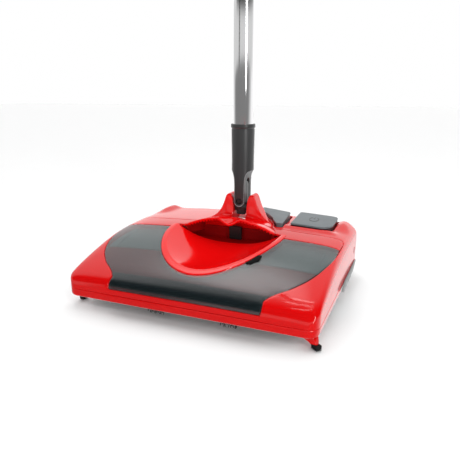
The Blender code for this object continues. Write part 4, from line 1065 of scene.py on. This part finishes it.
def make_side_strips():
    """A low rubber strip under the seam on each side, thickest along its middle."""
    corners = [(2, 13.4), (8, 12.6), (100, 15.2), (106, 17.6), (106, 20.4), (16, 20.4), (2, 17.4)]
    outline = spaced(rounded(corners, [1.5, 4, 8, 1, 1, 6, 1.5], 8), 1.2)
    wall, most = 145.2, 2.4
    for name, side in SIDES[::-1]:
        sections = []
        for reach, inset in ((0, 0.0), (0.55, 0.0), (0.8, 0.15), (0.95, 0.45), (1.0, 0.95)):
            ring = offset(outline, -inset)
            thick = most * reach * (1 - 0.55 * smooth_step(ring[:, 0], 70, 106))
            sections.append(np.column_stack([side * (wall + thick), ring]))
        add_piece(f"side_strip_{name}", loft(sections), "head", "bumper_grey", (f"side_bumper_{name}",))


def make_front_tufts():
    """Two short clumps of bristles under the tray's front edge."""
    spread = np.random.default_rng(5)
    for number, (low, high) in enumerate(((-40, -21), (44, 63)), 1):
        strands = []
        for x in np.arange(low, high, 0.55):
            y = -112.5 + spread.uniform(-0.8, 0.8)
            reach = 5.2 * (0.45 + 0.55 * abs(math.sin(x * 0.55)))
            tip = (x + spread.uniform(-1.2, 1.2), y - 2.4 + spread.uniform(-0.5, 0.5), BASE_BOTTOM - reach)
            strands.append(strand((x, y, BASE_BOTTOM + 0.4), tip, 0.34, 0.2))
        add_piece(f"front_tuft_{number}", together(*strands), "head", "bristle_black")


def make_side_dimple():
    """A small oval recess low on the right side wall; its dark red is painted shade in the hollow."""
    angles = np.linspace(0, 2 * np.pi, 40, endpoint=False)
    sections = []
    for deep, size in ((0.6, 0.55), (0.1, 0.75), (-0.12, 0.9), (-0.2, 1.0), (0.8, 1.0)):
        y, z = 92 + 3.4 * size * np.cos(angles), 37 + 4.2 * size * np.sin(angles)
        sections.append(np.column_stack([half_width(y) - deep, y, z]))
    add_piece("side_dimple", loft(sections), "head", "inner_red")


def strand(root, tip, thick, thin):
    """One bristle: a tapering three-sided filament."""
    root, tip = np.array(root, float), np.array(tip, float)
    along = (tip - root) / np.linalg.norm(tip - root)
    guide = np.array((0.3, 1.0, 0.2)) if abs(along[1]) < 0.8 else np.array((1.0, 0.1, 0.2))
    a = np.cross(along, guide)
    a /= np.linalg.norm(a)
    b = np.cross(along, a)
    rings = []
    for centre, r in ((root, thick), (tip, thin)):
        rings.append([centre + r * (a * math.cos(q) + b * math.sin(q)) for q in np.radians((0, 120, 240))])
    return loft(rings)


# ---- brush, wheels and what lies under the window -----------------------------------------
def make_brush():
    """The roller's core and its two winding rows of tufts."""
    core = [(3, -131), (3, -116), (8.4, -116), (9, -115.4), (9, 115.4), (8.4, 116), (3, 116), (3, 122.5)]
    add_piece("roller_core", turned(core, (0, BRUSH_Y, BRUSH_Z), "X", 48), "brush", "charcoal",
              ("brush_core",))
    root_radius, half_row = 8.6, 113
    scatter = np.random.default_rng(11)
    for number, start in enumerate((0, math.pi), 1):
        tufts = []
        for x in np.arange(-half_row, half_row + 0.1, 3.2):
            angle = start + math.pi * (1 - abs(x) / 114.5) * 0.7
            for _ in range(12):
                lean, shift = scatter.normal(0, 0.055), scatter.normal(0, 0.8)
                at = angle + scatter.normal(0, 0.05)
                reach = BRUSH_RADIUS - 0.6 * scatter.random()
                root, tip = ((x + shift * part, BRUSH_Y + r * math.cos(turn), BRUSH_Z + r * math.sin(turn))
                             for part, r, turn in ((0.5, root_radius, at), (1.6, reach, at + lean)))
                tufts.append(strand(root, tip, 0.3, 0.2))
        add_piece(f"roller_bristles_{number}", together(*tufts), "brush", "bristle_black",
                  (f"bristle_row_{number}",))


def make_wheels():
    """On each side, a rear wheel with its grooved tyre and a small front roller."""
    offset_x, y, radius = REAR_WHEEL
    tread = [(radius - 0.5 * (math.cos(t * 4.1) < -0.3), t) for t in np.linspace(-4.6, 4.6, 24)]
    tyre = [(15.9, -6), (17.0, -6), (17.6, -5.4), *tread, (17.6, 5.4), (17.0, 6), (15.9, 6)]
    hub = [(2.8, -7), (5.4, -7), (6, -6.4), (6, -4), (13.4, -4), (15.2, -6), (15.6, -5.6), (15.6, 5.6),
           (15.2, 6), (13.4, 4), (6, 4), (6, 6.4), (5.4, 7), (2.8, 7)]
    ring = [(1.6, -2.8), (6, -2.8), (6.6, -2.5), (7, -1.8), (7, 1.8), (6.6, 2.5), (6, 2.8), (1.6, 2.8)]
    for name, side in SIDES[::-1]:
        x, wheel, roller = side * offset_x, f"rear_wheel_{name}", f"front_roller_{name}"
        add_piece(f"tread_{name}", turned(tyre, (x, y, radius), "X", 72, hollow=True), wheel, "rubber_black",
                  (f"rear_tyre_{name}",), angle=30)
        places = [(x, y + 9.8 * math.cos(a), radius + 9.8 * math.sin(a))
                  for a in np.radians(np.arange(30, 390, 60))]
        holes = [turned([(2.3, -8), (2.3, 8)], place, "X", 24) for place in places]
        bm = carved(f"hub_{name}", turned(hub, (x, y, radius), "X", 64, hollow=True), cuts(*holes))
        add_bmesh(f"wheel_hub_{name}", bm, wheel, "charcoal", (wheel,))
        add_piece(f"small_roller_{name}", turned(ring, (side * ROLLER[0], *ROLLER[1:]), "X", 56, hollow=True),
                  roller, "black_plastic", (roller,), angle=30)


def dress_frame():
    """Give every CAD node that stays in sight or inside its slot's material."""
    for part in frame["record"]["subparts"]:
        node = frame["nodes"][part["node"]]
        node.data.materials.clear()
        node.data.materials.append(LOOKS[part["material_slot"]])


# ---- floor, light and camera --------------------------------------------------------------
def make_floor():
    size = 12.0
    mesh = bpy.data.meshes.new("floor")
    mesh.from_pydata([(-size, -size, 0), (size, -size, 0), (size, size, 0), (-size, size, 0)], [],
                     [(0, 1, 2, 3)])
    floor = new_object("floor", mesh)
    floor.location.z = -0.0002
    mesh.materials.append(shade("pale_floor", (0.92, 0.92, 0.92), 0.6, vary=0.01, grain=300, specular=0.2))
    floor.visible_glossy = False


BOX_DIRECTION = (-0.30, 0.40, 0.87)       # a large soft box overhead
GAP_DIRECTION = (-0.523, -0.853, 0)       # a dark gap between the studio's panels


def add_light(name, kind, power, heading):
    light = bpy.data.lights.new(name, kind)
    light.energy = power
    lamp = new_object(name, light)
    lamp.rotation_mode = "QUATERNION"
    lamp.rotation_quaternion = heading.to_track_quat("-Z", "Y")
    return lamp


def add_area(name, place, target, width, height, power):
    lamp = add_light(name, "AREA", power, Vector(target) - Vector(place))
    lamp.location = place
    lamp.data.shape = "RECTANGLE"
    lamp.data.size, lamp.data.size_y = width, height


def make_lights():
    """A wide soft light from above and behind, a weaker one from the front, and narrow panels that
    show as streaks in the gloss."""
    for name, power, width, heading in (("soft_light", 1.8, 60, (0.10, -0.42, -0.9)),
                                        ("front_fill", 0.70, 80, (0.2, 0.85, -0.45))):
        lamp = add_light(name, "SUN", power, Vector(heading))
        lamp.data.angle = math.radians(width)
        lamp.visible_glossy = False
    add_area("corner_panel", (0.95, -0.80, 0.45), (0.128, -0.115, 0.035), 0.1, 1.7, 9)
    for number, y in enumerate((0.0, 0.2, 0.4), 1):
        add_area(f"narrow_panel_{number}", (0.0, y, 1.5), (0.1, -0.1, 0), 0.4, 0.025, 0.25)


def make_world():
    """A studio that shows in glossy surfaces: bright behind with a soft box overhead, dark in front
    above the table, a pale table below, and a dark gap between its panels."""
    world = bpy.data.worlds.new("studio")
    world.use_nodes = True
    bpy.context.scene.world = world
    tree = world.node_tree
    direction = add_node(tree, "TexCoord", {}).outputs["Generated"]
    parts = add_node(tree, "SeparateXYZ", {"Vector": direction}).outputs

    def spread(source, low, high, to_low, to_high):
        return add_node(tree, "MapRange", {"From Min": low, "From Max": high, "To Min": to_low,
                                           "To Max": to_high, "Value": source},
                        interpolation_type="SMOOTHSTEP").outputs["Result"]

    def blend(factor, first, second):
        return add_node(tree, "Mix", {"Factor": factor, "A": first, "B": second}).outputs["Result"]

    def vector_step(operation, value, output):
        return add_node(tree, "VectorMath", {0: direction, 1: value}, operation=operation).outputs[output]

    above = spread(vector_step("DOT_PRODUCT", (-0.5, 0.86, 0), "Value"), 0.08, 0.42, 0.02, 0.92)
    overhead = spread(vector_step("DISTANCE", BOX_DIRECTION, "Value"), 0.08, 0.28, 2.0, 0.0)
    above = add_node(tree, "Math", {0: above, 1: overhead}, operation="ADD").outputs["Value"]
    ground = spread(parts["Y"], -0.3, 0.75, 0.25, 1.2)
    horizon = spread(parts["Y"], 0.45, 0.95, 0.80, 1.3)
    level = vector_step("MULTIPLY", (1, 1, 0), "Vector")
    gap = add_node(tree, "VectorMath", {0: level, 1: GAP_DIRECTION}, operation="DISTANCE").outputs["Value"]
    horizon = blend(spread(gap, 0.05, 0.13, 1.0, 0.0), horizon, 0.1)
    room = blend(spread(parts["Z"], -0.17, -0.07, 0.0, 1.0), ground, horizon)
    room = blend(spread(parts["Z"], 0.2, 0.36, 0.0, 1.0), room, above)
    seen = add_node(tree, "LightPath", {}).outputs["Is Camera Ray"]
    set_inputs(tree.nodes["Background"], {"Color": (1, 1, 1, 1), "Strength": blend(seen, room, 1.0)})
    bpy.context.scene.view_settings.view_transform = "Standard"


def make_camera():
    camera = new_object("camera", bpy.data.cameras.new("camera"))
    camera.location = (0.2164, -0.5202, 0.2290)
    camera.rotation_euler = [math.radians(turn) for turn in (90 - 15.652, -0.114, 22.064)]
    camera.data.lens, camera.data.sensor_width = 37.27, 36
    bpy.context.scene.camera = camera


make_camera()
dress_frame()
make_upper_cover()
make_window()
make_scoop()
make_inside_parts()
make_catch()
make_shaded_pocket_walls()
make_yoke()
make_pivot_shade_sheet()
make_pedals()
make_collar()
prong_rims()
make_knuckle()
make_tubes()
make_grip()
make_base()
make_screws()
make_corner_feet()
make_side_strips()
make_front_tufts()
make_side_dimple()
make_brush()
make_wheels()
make_floor()
make_lights()
make_world()
for name in ("upper_pole", "lower_pole", "handle_fork", "prong_edges"):
    bpy.data.objects[name].visible_glossy = False
for name in ("cover_skin", "base_shell"):
    bpy.data.objects[name].visible_diffuse = False
